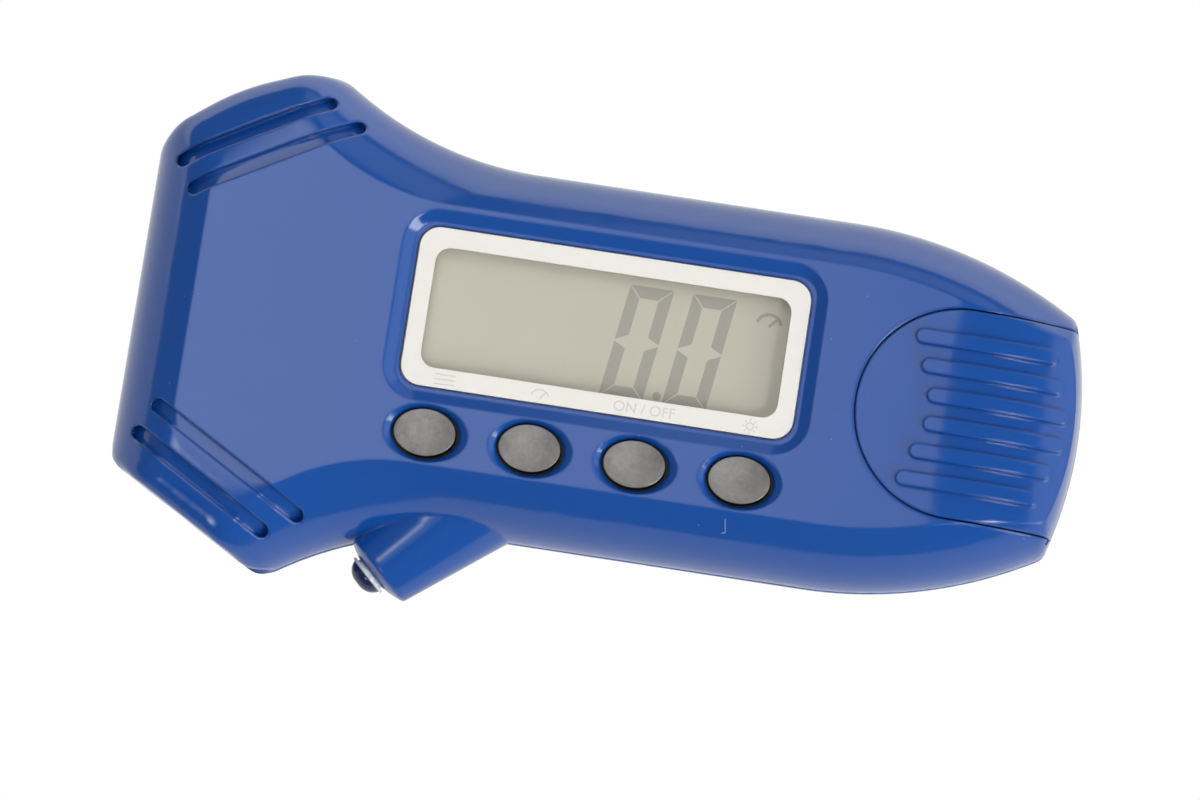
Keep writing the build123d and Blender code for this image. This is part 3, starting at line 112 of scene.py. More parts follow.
def polished_abs(name, add_scratches=None):
    """Polished blue ABS. A piece with scratches gives a function that adds them to the dust."""
    mat = new_material(name, IOR=1.53, Specular_IOR_Level=0.5)
    mm = millimetres(mat)
    shade = add_node(mat, "ShaderNodeTexNoise", "Fac",
                     {"Vector": mm, "Scale": 1 / SHADE_SIZE, "Detail": 3})
    blue = add_node(mat, "ShaderNodeMix", 2, {0: shade, 6: srgb(SHELL_BLUES[0]),
                    7: srgb(SHELL_BLUES[1])}, data_type="RGBA")

    speck = add_node(mat, "ShaderNodeTexVoronoi", "Distance",
                     {"Vector": mm, "Scale": 1 / DUST_SPACING, "Randomness": 1.0})
    rim = DUST_RADIUS / DUST_SPACING
    near = add_node(mat, "ShaderNodeMapRange", "Result",
                    {"Value": speck, "From Min": rim, "From Max": rim * 0.55})
    chance = add_node(mat, "ShaderNodeSeparateColor", 0, {"Color": speck.node.outputs["Color"]})
    one_in_ten = add_node(mat, "ShaderNodeMapRange", "Result",
                          {"Value": chance, "From Min": DUST_SHARE[0], "From Max": DUST_SHARE[1]})
    marks = add_node(mat, "ShaderNodeMath", 0, {0: near, 1: one_in_ten}, operation="MULTIPLY")
    if add_scratches:
        marks = add_scratches(mat, mm, marks)
    surface(mat, "Base Color", add_node(mat, "ShaderNodeMix", 2, {0: marks, 6: blue,
            7: srgb(DUST_BLUE)}, data_type="RGBA"))

    rubbed = add_node(mat, "ShaderNodeTexNoise", "Fac",
                      {"Vector": mm, "Scale": 1 / WEAR_SIZE, "Detail": 4})
    gloss = add_node(mat, "ShaderNodeMapRange", "Result", {"Value": rubbed, "From Min": 0.35,
                     "From Max": 0.75, "To Min": 0.10, "To Max": 0.16})
    wiped = millimetres(mat, (1 / WIPE_LENGTH, 1 / WIPE_SPACING, 1 / WIPE_LENGTH))
    hairs = add_node(mat, "ShaderNodeTexNoise", "Fac",
                     {"Vector": wiped, "Scale": 1, "Detail": 5, "Roughness": 0.65})
    duller = add_node(mat, "ShaderNodeMapRange", "Result",
                      {"Value": hairs, "From Min": 0.62, "From Max": 0.74, "To Max": WIPE_DULLS})
    surface(mat, "Roughness", add_node(mat, "ShaderNodeMath", 0, {0: gloss, 1: duller},
            operation="ADD"))

    edge = add_node(mat, "ShaderNodeBevel", "Normal", {"Radius": MOULDED_EDGE * MM}, samples=6)
    peel = add_node(mat, "ShaderNodeTexNoise", "Fac",
                    {"Vector": mm, "Scale": 1 / PEEL_SIZE, "Detail": 2})
    waves = add_node(mat, "ShaderNodeBump", "Normal", {"Height": peel,
                     "Distance": PEEL_HEIGHT * MM, "Strength": 1.0, "Normal": edge})
    surface(mat, "Normal", add_node(mat, "ShaderNodeBump", "Normal",
            {"Height": marks, "Distance": MARK_HEIGHT * MM, "Strength": 1.0, "Normal": waves}))
    return mat


paint("back_shell", polished_abs("royal_blue_abs_polished_lower"))


# Valve chuck, its pin and its seal
# Brass turned on a lathe, held between the shells in the slanted face of the head. The pin opens
# the valve of the tyre, and a ring of black nitrile rubber seals round it.
def rough_between(mat, mm, size, detail, low, high):
    """Roughness that wanders between two values over patches of a size in millimetres."""
    patches = add_node(mat, "ShaderNodeTexNoise", "Fac",
                       {"Vector": mm, "Scale": 1 / size, "Detail": detail})
    surface(mat, "Roughness", add_node(mat, "ShaderNodeMapRange", "Result", {"Value": patches,
            "From Min": 0.3, "From Max": 0.7, "To Min": low, "To Max": high}))


def fine_grain(mat, mm, size, height, edge=None, detail=2):
    """Grain that a mould or a die leaves, with its size and height in millimetres.

    The real grain is about 0.03 mm across. It is drawn coarser, so that it shows as a soft sheen.
    """
    grain = add_node(mat, "ShaderNodeTexNoise", "Fac",
                     {"Vector": mm, "Scale": 1 / size, "Detail": detail})
    inputs = {"Height": grain, "Distance": height * MM, "Strength": 1.0}
    if edge is not None:
        inputs["Normal"] = edge
    surface(mat, "Normal", add_node(mat, "ShaderNodeBump", "Normal", inputs))


# Turned brass is a warm yellow metal. The tool leaves marks 0.1 mm apart, drawn three times as
# wide, and they blur what it mirrors a little.
brass = new_material("turned_brass", Base_Color=srgb("#C9A25A"), Metallic=1.0)
rough_between(brass, millimetres(brass), size=0.333, detail=4, low=0.22, high=0.38)
paint("chuck_body", brass)
paint("valve_pin", brass)

# Nitrile rubber is nearly black, and its mould leaves it dull.
nitrile = new_material("black_nitrile_rubber", Base_Color=srgb("#1B1B1C"), Roughness=0.6)
fine_grain(nitrile, millimetres(nitrile), size=0.1667, height=0.02)
paint("chuck_seal", nitrile)


# Air tube
# Soft silicone tube, extruded, and pushed over the barb of the chuck and over the port of the
# pressure sensor. Silicone looks milky, half clear and satin.
silicone = new_material("milky_silicone", Base_Color=srgb("#D6D2C6"), Roughness=0.4,
                        Transmission_Weight=0.3)
fine_grain(silicone, millimetres(silicone), size=0.5, height=0.02)
paint("air_tube", silicone)


# Circuit board
# Glass epoxy laminate, etched and lacquered green, and clamped between posts of the two shells.
# The lacquer has an even gloss, and the copper tracks show through it as lighter lines.
TRACK_SPACING = 0.7143      # millimetres between rows of tracks
TRACK_RUN = 1.4286          # between the places where a track turns off
TRACK_HALF_WIDTH = 0.0857
laminate = new_material("green_lacquered_glass_epoxy", Roughness=0.35)
tracks = add_node(laminate, "ShaderNodeTexBrick", "Fac",
                  {"Vector": millimetres(laminate), "Scale": 1, "Brick Width": TRACK_RUN,
                   "Row Height": TRACK_SPACING, "Mortar Size": TRACK_HALF_WIDTH})
surface(laminate, "Base Color", add_node(laminate, "ShaderNodeMix", 2, {0: tracks,
        6: srgb("#14532B"), 7: srgb("#1F6E3C")}, data_type="RGBA"))
paint("circuit_board", laminate)


# What is soldered to the board, and the plungers of the keys
# The chip, the small parts and the sensor are moulded in black epoxy, and the four push switches
# and the plungers on them in black nylon. Both are satin black with a very fine grain.
satin_black = new_material("satin_black_epoxy_and_nylon", Base_Color=srgb("#161617"),
                           Roughness=0.5)
fine_grain(satin_black, millimetres(satin_black), size=0.125, height=0.01)
for part in ("controller_chip", "board_components", "tact_switches", "pressure_sensor"):
    paint(part, satin_black)
KEYS = ("mode", "unit", "power", "light")
for key in KEYS:
    paint(key + "_plunger", satin_black)


# Light plate and panel frame
# White polystyrene mouldings over the board, under the liquid crystal panel. They hold it and
# light it evenly from behind. Their skin is an even, slightly warm white with a satin sheen.
polystyrene = new_material("white_moulded_polystyrene", Base_Color=srgb("#E6E5E0"),
                           Roughness=0.45)
fine_grain(polystyrene, millimetres(polystyrene), size=0.1667, height=0.01)
paint("backlight_plate", polystyrene)
paint("lcd_frame", polystyrene)


# Connector strip
# Silicone rubber strip, pressed from thin layers and squeezed between the board and the panel. Its
# black layers conduct, its pale layers do not, and both are dull.
LAYER_PAIR = 0.19635        # millimetres for one black and one pale layer
BAND = math.tau / 20        # between two bands of the wave texture at a scale of one
layered = new_material("layered_silicone_rubber", Roughness=0.7)
layers = add_node(layered, "ShaderNodeTexWave", "Fac",
                  {"Vector": millimetres(layered), "Scale": BAND / LAYER_PAIR},
                  bands_direction="X")
split = add_node(layered, "ShaderNodeMapRange", "Result",
                 {"Value": layers, "From Min": 0.45, "From Max": 0.55})
surface(layered, "Base Color", add_node(layered, "ShaderNodeMix", 2, {0: split,
        6: srgb("#2A2928"), 7: srgb("#B9B2A4")}, data_type="RGBA"))
paint("lcd_connector", layered)


# Liquid crystal panel
# Two sheets of glass in the white frame, with a silvery film behind and a matt film on top. Where
# nothing is lit it is a warm grey, and grey segments form two slanted noughts, a dot and a dial.
CLOUD_SIZE = 14.29          # millimetres across a shade of the film
film = new_material("matt_film_on_display_glass", Roughness=0.42, IOR=1.5)
film_mm = millimetres(film)
cloud = add_node(film, "ShaderNodeTexNoise", "Fac",
                 {"Vector": film_mm, "Scale": 1 / CLOUD_SIZE, "Detail": 3})
surface(film, "Base Color", add_node(film, "ShaderNodeMix", 2, {0: cloud, 6: srgb("#DAD6CA"),
        7: srgb("#DFDBCF")}, data_type="RGBA"))
fine_grain(film, film_mm, size=0.0714, height=0.002)
paint("lcd_panel", film)

SLANT = math.tan(math.radians(7.7))
DIGIT_LEFTS = (-0.35, 7.55)
DIGIT_BOTTOM = -4.1
DIGIT_SIZE = (5.5, 14.3)
SEGMENT_WIDTH = 1.55
SEGMENT_GAP = 0.1
DOT_CENTRE = (6.85, -3.15)
DOT_RADIUS = 0.55
DOT_CORNERS = 12
UNIT_DIAL_CENTRE = (19.3, 7.5)
UNIT_DIAL_RADIUS = 1.55
UNIT_DIAL_WIDTH = 0.42
UNIT_POINTER_TIP = (20.2, 8.5)
UNIT_POINTER_WIDTH = 0.4
SEGMENT_THICKNESS = 0.012


def slanted_nought(left, bottom):
    """Outlines of the six lit segments of one slanted nought, mitred at its corners."""
    width, height = DIGIT_SIZE
    thick, gap, middle = SEGMENT_WIDTH, SEGMENT_GAP, height / 2
    lines = []
    for end, inward in ((0, 1), (height, -1)):
        deep = end + inward * thick
        lines.append([(gap, end), (width - gap, end), (width - thick - gap, deep),
                      (thick + gap, deep)])
        for outer, inner in ((0, thick), (width, width - thick)):
            lines.append([(outer, end + inward * gap), (inner, deep + inward * gap),
                          (inner, middle - inward * (gap + thick / 2)),
                          (outer, middle - inward * gap)])
    return [[(left + x + y * SLANT, bottom + y) for x, y in line] for line in lines]


def around(centre, radius, degrees):
    """Place at an angle on a circle."""
    turn = math.radians(degrees)
    return centre[0] + radius * math.cos(turn), centre[1] + radius * math.sin(turn)


def stroke(start, end, width):
    """Outline of a straight stroke with square ends."""
    dx, dy = end[0] - start[0], end[1] - start[1]
    length = math.hypot(dx, dy)
    nx, ny = -dy / length * width / 2, dx / length * width / 2
    return [(start[0] - nx, start[1] - ny), (end[0] - nx, end[1] - ny),
            (end[0] + nx, end[1] + ny), (start[0] + nx, start[1] + ny)]


def arc_strokes(centre, radius, width, start, end, count):
    """Short strokes that follow an arc between two angles."""
    points = [around(centre, radius, start + (end - start) * i / count) for i in range(count + 1)]
    return [stroke(points[i], points[i + 1], width) for i in range(count)]


def thin_plates(name, outlines, z, thick, mat):
    """Thin plates on the housing from closed outlines seen from above, in millimetres."""
    corners, faces = [], []
    for line in outlines:
        start, count = len(corners), len(line)
        corners += [(x, y, z) for x, y in line] + [(x, y, z + thick) for x, y in line]
        faces.append([start + count + i for i in range(count)])
        faces.append([start + count - 1 - i for i in range(count)])
        for i in range(count):
            j = (i + 1) % count
            faces.append([start + i, start + j, start + count + j, start + count + i])
    mesh = bpy.data.meshes.new(name)
    mesh.from_pydata([Vector(corner) * MM for corner in corners], [], faces)
    mesh.update()
    place_on_housing(name, mesh, mat)


def place_on_housing(name, mesh, mat):
    made = bpy.data.objects.new(name, mesh)
    bpy.context.scene.collection.objects.link(made)
    mesh.materials.append(mat)
    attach(made, "housing")


# A lit segment shows as a soft grey on the panel, because so little of it stops the light.
segment_grey = new_material("lit_liquid_crystal", Base_Color=srgb("#B6B3AB"), Roughness=0.5)
digits = []
for left in DIGIT_LEFTS:
    digits += slanted_nought(left, DIGIT_BOTTOM)
digits.append([around(DOT_CENTRE, DOT_RADIUS, 360 / DOT_CORNERS * k) for k in range(DOT_CORNERS)])
digits += arc_strokes(UNIT_DIAL_CENTRE, UNIT_DIAL_RADIUS, UNIT_DIAL_WIDTH,
                      start=15, end=165, count=14)
digits.append(stroke(UNIT_DIAL_CENTRE, UNIT_POINTER_TIP, UNIT_POINTER_WIDTH))
thin_plates("lcd_digits", digits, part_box("lcd_panel")[1].z / MM, SEGMENT_THICKNESS, segment_grey)


# Torch lamp
# Small lamp cast in clear epoxy, with its two leads astride the edge of the board. A sleeve in
# the nozzle carries it behind the dome, and it looks like a cool, clear drop.
lamp_epoxy = new_material("clear_cast_epoxy", Base_Color=srgb("#D9DCE0"), Roughness=0.15, IOR=1.5,
                          Transmission_Weight=0.6)
paint("torch_led", lamp_epoxy)


# Torch dome
# Clear polycarbonate dome pushed into the end of the nozzle up to its flange. The dome is painted
# navy as the shade of the dark nozzle seen through it, and its flange is painted pale as a highlight.
NOZZLE_DIRECTION = 226.8    # degrees from the X axis
# Behind the tip, the painted highlight on the flange gives way to the painted shade of the dome.
PAINTED_HIGHLIGHT_DEPTH = (1.6, 1.4)   # millimetres behind the tip, where the pale flange gives way
dome = new_material("clear_moulded_polycarbonate", Roughness=0.08, IOR=1.5)
beam = Vector((*around((0, 0), 1, NOZZLE_DIRECTION), 0))
dome_tip = max(corner.co @ beam for corner in nodes["torch_lens"].data.vertices) / MM
outwards = add_node(dome, "ShaderNodeVectorMath", "Value", {0: millimetres(dome), 1: beam},
                    operation="DOT_PRODUCT")
painted_shade_past_flange = add_node(dome, "ShaderNodeMapRange", "Result", {"Value": outwards,
                       "From Min": dome_tip - PAINTED_HIGHLIGHT_DEPTH[0],
                       "From Max": dome_tip - PAINTED_HIGHLIGHT_DEPTH[1]})
# Pale as a painted highlight on the flange, navy as painted shade on the dome.
surface(dome, "Base Color", add_node(dome, "ShaderNodeMix", 2, {0: painted_shade_past_flange,
        6: srgb("#D8DAE2"), 7: srgb("#1B2450")}, data_type="RGBA"))
paint("torch_lens", dome)


# Push buttons
# Four oval ABS caps, moulded with a crowned top and sprayed in metallic grey paint. Each sits on
# the plunger of its own switch. The paint has a satin sheen, and below its rim a cap is painted near
# black as the shade in the gap.
CAP_GREYS = ("#767473", "#8A8886")
# The side of a cap below its rim is painted near black: painted shade that stands in for the shadow
# in the gap round it.
PAINTED_GAP_SHADE = "#101011"
PAINTED_SHADE_DEPTH = (0.75, 0.55)    # millimetres below the top of a cap, where the gap turns dark
FLAKE_CLOUD = 1.111         # the flakes are finer than a pixel, so clouds of them are drawn
CAP_EDGE = 0.2
cap_paint = new_material("metallic_grey_paint_on_abs", IOR=1.5, Metallic=0.55)
cap_mm = millimetres(cap_paint)
flakes = add_node(cap_paint, "ShaderNodeTexNoise", "Fac",
                  {"Vector": cap_mm, "Scale": 1 / FLAKE_CLOUD, "Detail": 5, "Roughness": 0.7})
spread_flakes = add_node(cap_paint, "ShaderNodeMapRange", "Result",
                         {"Value": flakes, "From Min": 0.35, "From Max": 0.7})
grey = add_node(cap_paint, "ShaderNodeMix", 2, {0: spread_flakes, 6: srgb(CAP_GREYS[0]),
                7: srgb(CAP_GREYS[1])}, data_type="RGBA")
cap_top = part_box("mode_button")[1].z / MM
height = add_node(cap_paint, "ShaderNodeSeparateXYZ", "Z", {"Vector": cap_mm})
above_painted_shade = add_node(cap_paint, "ShaderNodeMapRange", "Result", {"Value": height,
                     "From Min": cap_top - PAINTED_SHADE_DEPTH[0], "From Max": cap_top - PAINTED_SHADE_DEPTH[1]})
# Painted shade: near black below the rim of the cap, metallic grey above it.
surface(cap_paint, "Base Color", add_node(cap_paint, "ShaderNodeMix", 2, {0: above_painted_shade,
        6: srgb(PAINTED_GAP_SHADE), 7: grey}, data_type="RGBA"))
rough_between(cap_paint, cap_mm, size=0.4, detail=3, low=0.30, high=0.42)
cap_edge = add_node(cap_paint, "ShaderNodeBevel", "Normal", {"Radius": CAP_EDGE * MM}, samples=6)
fine_grain(cap_paint, cap_mm, size=0.1429, height=0.008, edge=cap_edge, detail=3)
for key in KEYS:
    paint(key + "_button", cap_paint)


# Upper shell
# The other half of the housing, moulded in the same polished ABS. It holds the display and guides
# the buttons. A small J-shaped scratch on the flank below the last button shows pale.
SCRATCH_HOOK = ((17.5, -17.2), (17.75, -18.7), (17.35, -18.85))
SCRATCH_HALF_WIDTH = 0.075


def scratch_mask(mat, mm, start, end):
    """Mask of a fine straight scratch between two places seen from above, in millimetres."""
    along = Vector(end) - Vector(start)
    flat = add_node(mat, "ShaderNodeVectorMath", 0, {0: mm, 1: (1, 1, 0)}, operation="MULTIPLY")
    offset = add_node(mat, "ShaderNodeVectorMath", 0, {0: flat, 1: (*start, 0)},
                      operation="SUBTRACT")
    share = add_node(mat, "ShaderNodeVectorMath", "Value",
                     {0: offset, 1: (*(along / along.length_squared), 0)},
                     operation="DOT_PRODUCT")
    inside = add_node(mat, "ShaderNodeMapRange", "Result", {"Value": share})
    foot = add_node(mat, "ShaderNodeVectorMath", 0, {0: (*along, 0), "Scale": inside},
                    operation="SCALE")
    gap = add_node(mat, "ShaderNodeVectorMath", "Value", {0: offset, 1: foot},
                   operation="DISTANCE")
    return add_node(mat, "ShaderNodeMapRange", "Result",
                    {"Value": gap, "From Min": SCRATCH_HALF_WIDTH,
                     "From Max": SCRATCH_HALF_WIDTH * 0.6})


def hooked_scratch(mat, mm, marks):
    for start, end in zip(SCRATCH_HOOK, SCRATCH_HOOK[1:]):
        line = scratch_mask(mat, mm, start, end)
        marks = add_node(mat, "ShaderNodeMath", 0, {0: marks, 1: line}, operation="MAXIMUM")
    return marks


upper_abs = polished_abs("royal_blue_abs_polished_upper", hooked_scratch)
paint("front_shell", upper_abs)


# Display window
# Pane cut from clear acrylic sheet, held behind the ledge of the frame. It lets nearly all light
# through and mirrors a little of the room, drawn on its outer side only to keep the panel bright.
acrylic = new_material("clear_acrylic_sheet")
mirror = add_node(acrylic, "ShaderNodeBsdfGlossy", 0, {"Roughness": 0.04})
clear = add_node(acrylic, "ShaderNodeBsdfTransparent", 0, {"Color": srgb("#F6F6F4")})
mirrored = add_node(acrylic, "ShaderNodeFresnel", 0, {"IOR": 1.49})
inner_side = add_node(acrylic, "ShaderNodeNewGeometry", "Backfacing")
outer_side = add_node(acrylic, "ShaderNodeMapRange", "Result",
                      {"Value": inner_side, "From Min": 1, "From Max": 0})
shine = add_node(acrylic, "ShaderNodeMath", 0, {0: mirrored, 1: outer_side},
                 operation="MULTIPLY")
pane = add_node(acrylic, "ShaderNodeMixShader", 0, {0: shine, 1: clear, 2: mirror})
acrylic.node_tree.links.new(pane, acrylic.node_tree.nodes["Material Output"].inputs[0])
acrylic.node_tree.nodes.remove(acrylic.node_tree.nodes["Principled BSDF"])
paint("display_window", acrylic)


# Display frame
# Warm white ABS from a mould with a fine spark finish, which makes it satin and hides marks. Its
# flange is held behind the wall of the upper shell.
WARMTH_SIZE = 8.333         # millimetres across a shade of white
FRAME_EDGE = 0.12
satin_abs = new_material("warm_white_abs_satin_moulded", IOR=1.5, Roughness=0.38)
satin_mm = millimetres(satin_abs)
warmth = add_node(satin_abs, "ShaderNodeTexNoise", "Fac",
                  {"Vector": satin_mm, "Scale": 1 / WARMTH_SIZE, "Detail": 3})
surface(satin_abs, "Base Color", add_node(satin_abs, "ShaderNodeMix", 2, {0: warmth,
        6: srgb("#ECE9E1"), 7: srgb("#F0EDE5")}, data_type="RGBA"))
satin_edge = add_node(satin_abs, "ShaderNodeBevel", "Normal", {"Radius": FRAME_EDGE * MM},
                      samples=6)
fine_grain(satin_abs, satin_mm, size=0.1111, height=0.004, edge=satin_edge)
paint("display_bezel", satin_abs)


# Signs on the display frame
# Pad printed above the buttons: three lines, a dial, the switch words and a sun. The ink is a
# pale matt grey that hardly stands out from the white.
LINES_LEFT, LINES_RIGHT = -20.6, -18.0
LINES_TOP = -4.75
LINES_SPACING = 0.6
LINES_COUNT = 3
INK_WIDTH = 0.17
DIAL_CENTRE = (-7.4, -5.9)
DIAL_RADIUS = 1.15
POINTER_TIP = (-6.75, -5.05)
SUN_CENTRE = (18.8, -5.35)
SUN_RADIUS = 0.45
SUN_WIDTH = 0.15
SUN_RAYS = 8
RAY_ENDS = (0.65, 0.98)
RAY_WIDTH = 0.14
INK_THICKNESS = 0.01
WORDS_PLACE = (5.6, -5.35)
WORDS_HEIGHT = 1.85
WORDS_EXTRUDE = 0.003       # to each side of the middle of the letters
LIFT = 0.004                # keeps the ink just clear of the frame
ink = new_material("pale_grey_pad_ink", Base_Color=srgb("#D6D4CE"), Roughness=0.5)
ink_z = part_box("display_bezel")[1].z / MM + LIFT

signs = []
for i in range(LINES_COUNT):
    y = LINES_TOP - LINES_SPACING * i
    signs.append(stroke((LINES_LEFT, y), (LINES_RIGHT, y), INK_WIDTH))
signs += arc_strokes(DIAL_CENTRE, DIAL_RADIUS, INK_WIDTH, start=20, end=160, count=10)
signs.append(stroke(DIAL_CENTRE, POINTER_TIP, INK_WIDTH))
signs += arc_strokes(SUN_CENTRE, SUN_RADIUS, SUN_WIDTH, start=0, end=360, count=12)
for k in range(SUN_RAYS):
    inner, outer = (around(SUN_CENTRE, radius, 360 / SUN_RAYS * k) for radius in RAY_ENDS)
    signs.append(stroke(inner, outer, RAY_WIDTH))
thin_plates("key_signs", signs, ink_z, INK_THICKNESS, ink)

lettering = bpy.data.curves.new("switch_words", "FONT")
lettering.body = "ON / OFF"
lettering.size = WORDS_HEIGHT * MM
lettering.extrude = WORDS_EXTRUDE * MM
lettering.align_x = "CENTER"
lettering.align_y = "CENTER"
carrier = bpy.data.objects.new("lettering", lettering)
bpy.context.scene.collection.objects.link(carrier)
words = bpy.data.meshes.new_from_object(carrier.evaluated_get(
    bpy.context.evaluated_depsgraph_get()))
bpy.data.objects.remove(carrier)
words.transform(Matrix.Translation(Vector((*WORDS_PLACE, ink_z + WORDS_EXTRUDE)) * MM))
words.materials.clear()
place_on_housing("switch_words", words, ink)


# Coin cell, its contacts and the housing screws
# Drawn steel with a plating of nickel. The cell lies in its well on one spring contact with
# another at its side, and four screws from below close the housing.
MARK_LENGTH = 0.6667        # millimetres along X, of the marks that drawing the steel leaves
MARKS_ACROSS = 8            # a mark is this many times as long as wide
# The plating is bright and a little warm, and the marks blur what it mirrors in one direction.
nickel = new_material("nickel_plated_drawn_steel", Base_Color=srgb("#B4B2AB"), Metallic=1.0)
rough_between(nickel, millimetres(nickel, (1, MARKS_ACROSS, 1)), size=MARK_LENGTH, detail=4,
              low=0.26, high=0.42)
for part in ("coin_cell", "positive_contact", "negative_contact", "housing_screws"):
    paint(part, nickel)


# Battery door
# Moulded in the same polished ABS as the upper shell, with six ribs for the thumb. It covers the
# coin cell and slides off at the tail on a tongue.
paint("battery_door", upper_abs)


# Floor
# White card under the gauge. The camera sees it as pure white. To the gloss of the housing it glows
# with painted light, a little darker in front and brighter behind, as in a tent lit from the far
# side.
FLOOR_REACH = 1500
FLOOR_Z = -0.05
FRONT_LEVEL, BACK_LEVEL = 0.85, 1.6
BRIGHTENS_FROM, BRIGHTENS_TO = 35, 90


def stage_plane(name, corners, mat):
    """Flat card from four corners in millimetres that belongs to the studio."""
    mesh = bpy.data.meshes.new(name)
    mesh.from_pydata([Vector(corner) * MM for corner in corners], [], [(0, 1, 2, 3)])
    card = bpy.data.objects.new(name, mesh)
    bpy.context.scene.collection.objects.link(card)
    mesh.materials.append(mat)
    return card


def rectangle(low_x, low_y, high_x, high_y, z):
    return [(low_x, low_y, z), (high_x, low_y, z), (high_x, high_y, z), (low_x, high_y, z)]


white_card = new_material("white_card", Base_Color=srgb("#F4F4F4"), Roughness=0.9)
is_camera = add_node(white_card, "ShaderNodeLightPath", "Is Camera Ray")
is_glossy = is_camera.node.outputs["Is Glossy Ray"]
floor_y = add_node(white_card, "ShaderNodeSeparateXYZ", "Y", {"Vector": millimetres(white_card)})
# For glossy rays the card glows with painted light that rises from front to back.
painted_glow_level = add_node(white_card, "ShaderNodeMapRange", "Result", {"Value": floor_y,
                          "From Min": BRIGHTENS_FROM, "From Max": BRIGHTENS_TO,
                          "To Min": FRONT_LEVEL, "To Max": BACK_LEVEL})
floor_level = add_node(white_card, "ShaderNodeMapRange", "Result",
                       {"Value": is_camera, "To Min": painted_glow_level, "To Max": 1.0})
white = add_node(white_card, "ShaderNodeEmission", 0,
                 {"Color": srgb("#FFFFFF"), "Strength": floor_level})
seen = add_node(white_card, "ShaderNodeMath", 0, {0: is_camera, 1: is_glossy},
                operation="MAXIMUM")
card_surface = white_card.node_tree.nodes["Principled BSDF"].outputs[0]
floor_mix = add_node(white_card, "ShaderNodeMixShader", 0, {0: seen, 1: card_surface, 2: white})
white_card.node_tree.links.new(floor_mix,
                               white_card.node_tree.nodes["Material Output"].inputs[0])
stage_plane("floor", rectangle(-FLOOR_REACH, -FLOOR_REACH, FLOOR_REACH, FLOOR_REACH, FLOOR_Z),
            white_card)


# Lights
# A broad soft box hangs over the head, and a low lamp stands at the tail on the button side.
# Soft cards draw the glints on the grip ribs, the chuck flank and the torch nozzle.
def glowing(name, level, colour="#FFFFFF"):
    """Material that only glows, with a function that works out its strength from the place."""
    made = bpy.data.materials.new(name)
    made.use_nodes = True
    made.node_tree.nodes.clear()
    light = add_node(made, "ShaderNodeEmission", 0,
                     {"Color": srgb(colour), "Strength": level(made)})
    end = made.node_tree.nodes.new("ShaderNodeOutputMaterial")
    made.node_tree.links.new(light, end.inputs[0])
    return made


BOX_LOW = (-460, -330)
BOX_HIGH = (105, 1100)
BOX_Z = 750
BOX_LEVELS = (2.9, 1.45)        # over the head and over the tail
BOX_LEVEL_PLACES = (-300, 120)
BOX_FADES = (("X", -460, -200), ("Y", -330, 5), ("Y", 1100, 700))


def soft_box_level(mat):
    """Brightest over the head, falling towards the tail and fading out at three edges."""
    place = add_node(mat, "ShaderNodeSeparateXYZ", "X", {"Vector": millimetres(mat)})
    level = add_node(mat, "ShaderNodeMapRange", "Result", {"Value": place,
                     "From Min": BOX_LEVEL_PLACES[0], "From Max": BOX_LEVEL_PLACES[1],
                     "To Min": BOX_LEVELS[0], "To Max": BOX_LEVELS[1]})
    for axis, dark, bright in BOX_FADES:
        fade = add_node(mat, "ShaderNodeMapRange", "Result",
                        {"Value": place.node.outputs[axis], "From Min": dark, "From Max": bright})
        level = add_node(mat, "ShaderNodeMath", 0, {0: level, 1: fade}, operation="MULTIPLY")
    return level


stage_plane("broad_light", rectangle(*BOX_LOW, *BOX_HIGH, BOX_Z),
            glowing("broad_light", soft_box_level, "#FFFEFC"))


def turn_to(thing, place, target):
    thing.location = place
    thing.rotation_mode = "QUATERNION"
    thing.rotation_quaternion = (Vector(target) - Vector(place)).to_track_quat("-Z", "Y")


def lamp(name, place, size, watts, target=(0, 0, 0)):
    """Even rectangular lamp, with its place and size in metres."""
    data = bpy.data.lights.new(name, "AREA")
    data.shape = "RECTANGLE"
    data.size, data.size_y = size
    data.energy = watts
    made = bpy.data.objects.new(name, data)
    bpy.context.scene.collection.objects.link(made)
    turn_to(made, place, target)


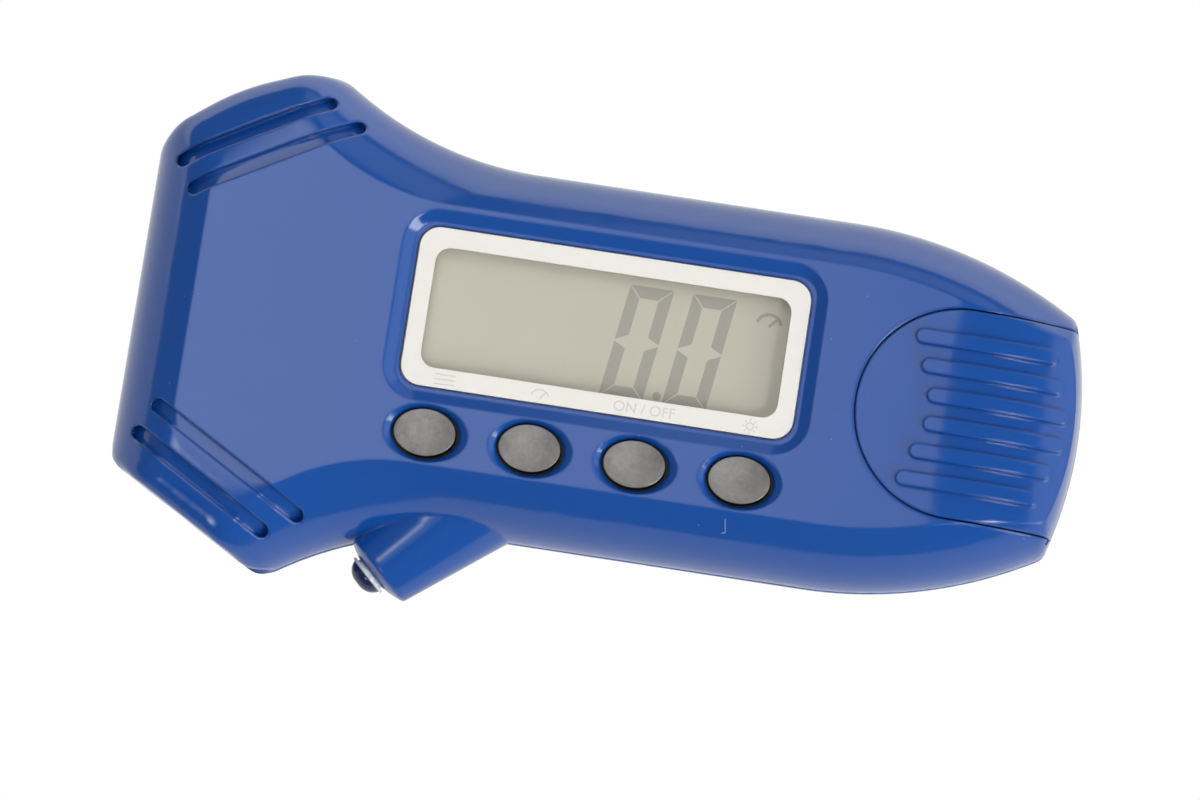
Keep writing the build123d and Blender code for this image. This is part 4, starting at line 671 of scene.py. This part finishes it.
def soft_card(name, place, radii, level, target=(0, 0, 0)):
    """Glowing card, brightest at its middle and fading to nothing at its rim, in metres."""
    def fading(mat):
        local = add_node(mat, "ShaderNodeTexCoord", "Object")
        to_rim = add_node(mat, "ShaderNodeMapping", "Vector",
                          {"Vector": local, "Scale": (1 / radii[0], 1 / radii[1], 1)})
        fall = add_node(mat, "ShaderNodeTexGradient", "Fac", {"Vector": to_rim},
                        gradient_type="QUADRATIC_SPHERE")
        return add_node(mat, "ShaderNodeMapRange", "Result", {"Value": fall, "To Max": level})

    half_x, half_y = radii[0] / MM, radii[1] / MM
    card = stage_plane(name, rectangle(-half_x, -half_y, half_x, half_y, 0),
                       glowing(name, fading))
    turn_to(card, place, target)


lamp("key_light", place=(1.15, -0.62, 0.52), size=(0.55, 0.5), watts=6.0)
lamp("tail_light", place=(1.13, 0.2, 0.61), size=(1.8, 0.85), watts=4.7)
lamp("back_light", place=(0.55, 1.35, 0.45), size=(1.3, 0.6), watts=1.3, target=(0, 0, 0.02))
soft_card("rib_card", place=(0.60, -0.43, 0.946), radii=(0.42, 0.13), level=44)
soft_card("flank_card", place=(-0.50, -0.85, 0.72), radii=(0.25, 0.25), level=9)
soft_card("nozzle_card", place=(-0.275, -0.125, 0.74), radii=(0.16, 0.16), level=7,
          target=(-0.02, -0.024, 0.02))

# The room round the table is a dim, cool grey.
room = bpy.data.worlds.new("room")
room.use_nodes = True
room.node_tree.nodes["Background"].inputs["Color"].default_value = srgb("#818489")
room.node_tree.nodes["Background"].inputs["Strength"].default_value = 1.0
bpy.context.scene.world = room
bpy.context.scene.view_settings.view_transform = "Standard"


# Camera
# It looks almost straight down on the display from half a metre, turned a little, with the long
# lens of a product photograph.
CAMERA_PLACE = (11.3943, -62.3916, 559.2318)    # millimetres
CAMERA_TURN = (6.2435, 0.2678, 8.7394)          # degrees
FOCAL_LENGTH = 4359.6                           # in pixels of the picture
PICTURE_WIDTH = 1200
SENSOR_WIDTH = 36
camera_data = bpy.data.cameras.new("camera")
camera_data.sensor_width = SENSOR_WIDTH
camera_data.lens = SENSOR_WIDTH * FOCAL_LENGTH / PICTURE_WIDTH
camera_data.clip_start = 0.01
camera_data.clip_end = 20
camera = bpy.data.objects.new("camera", camera_data)
bpy.context.scene.collection.objects.link(camera)
camera.location = Vector(CAMERA_PLACE) * MM
camera.rotation_euler = [math.radians(angle) for angle in CAMERA_TURN]
bpy.context.scene.camera = camera
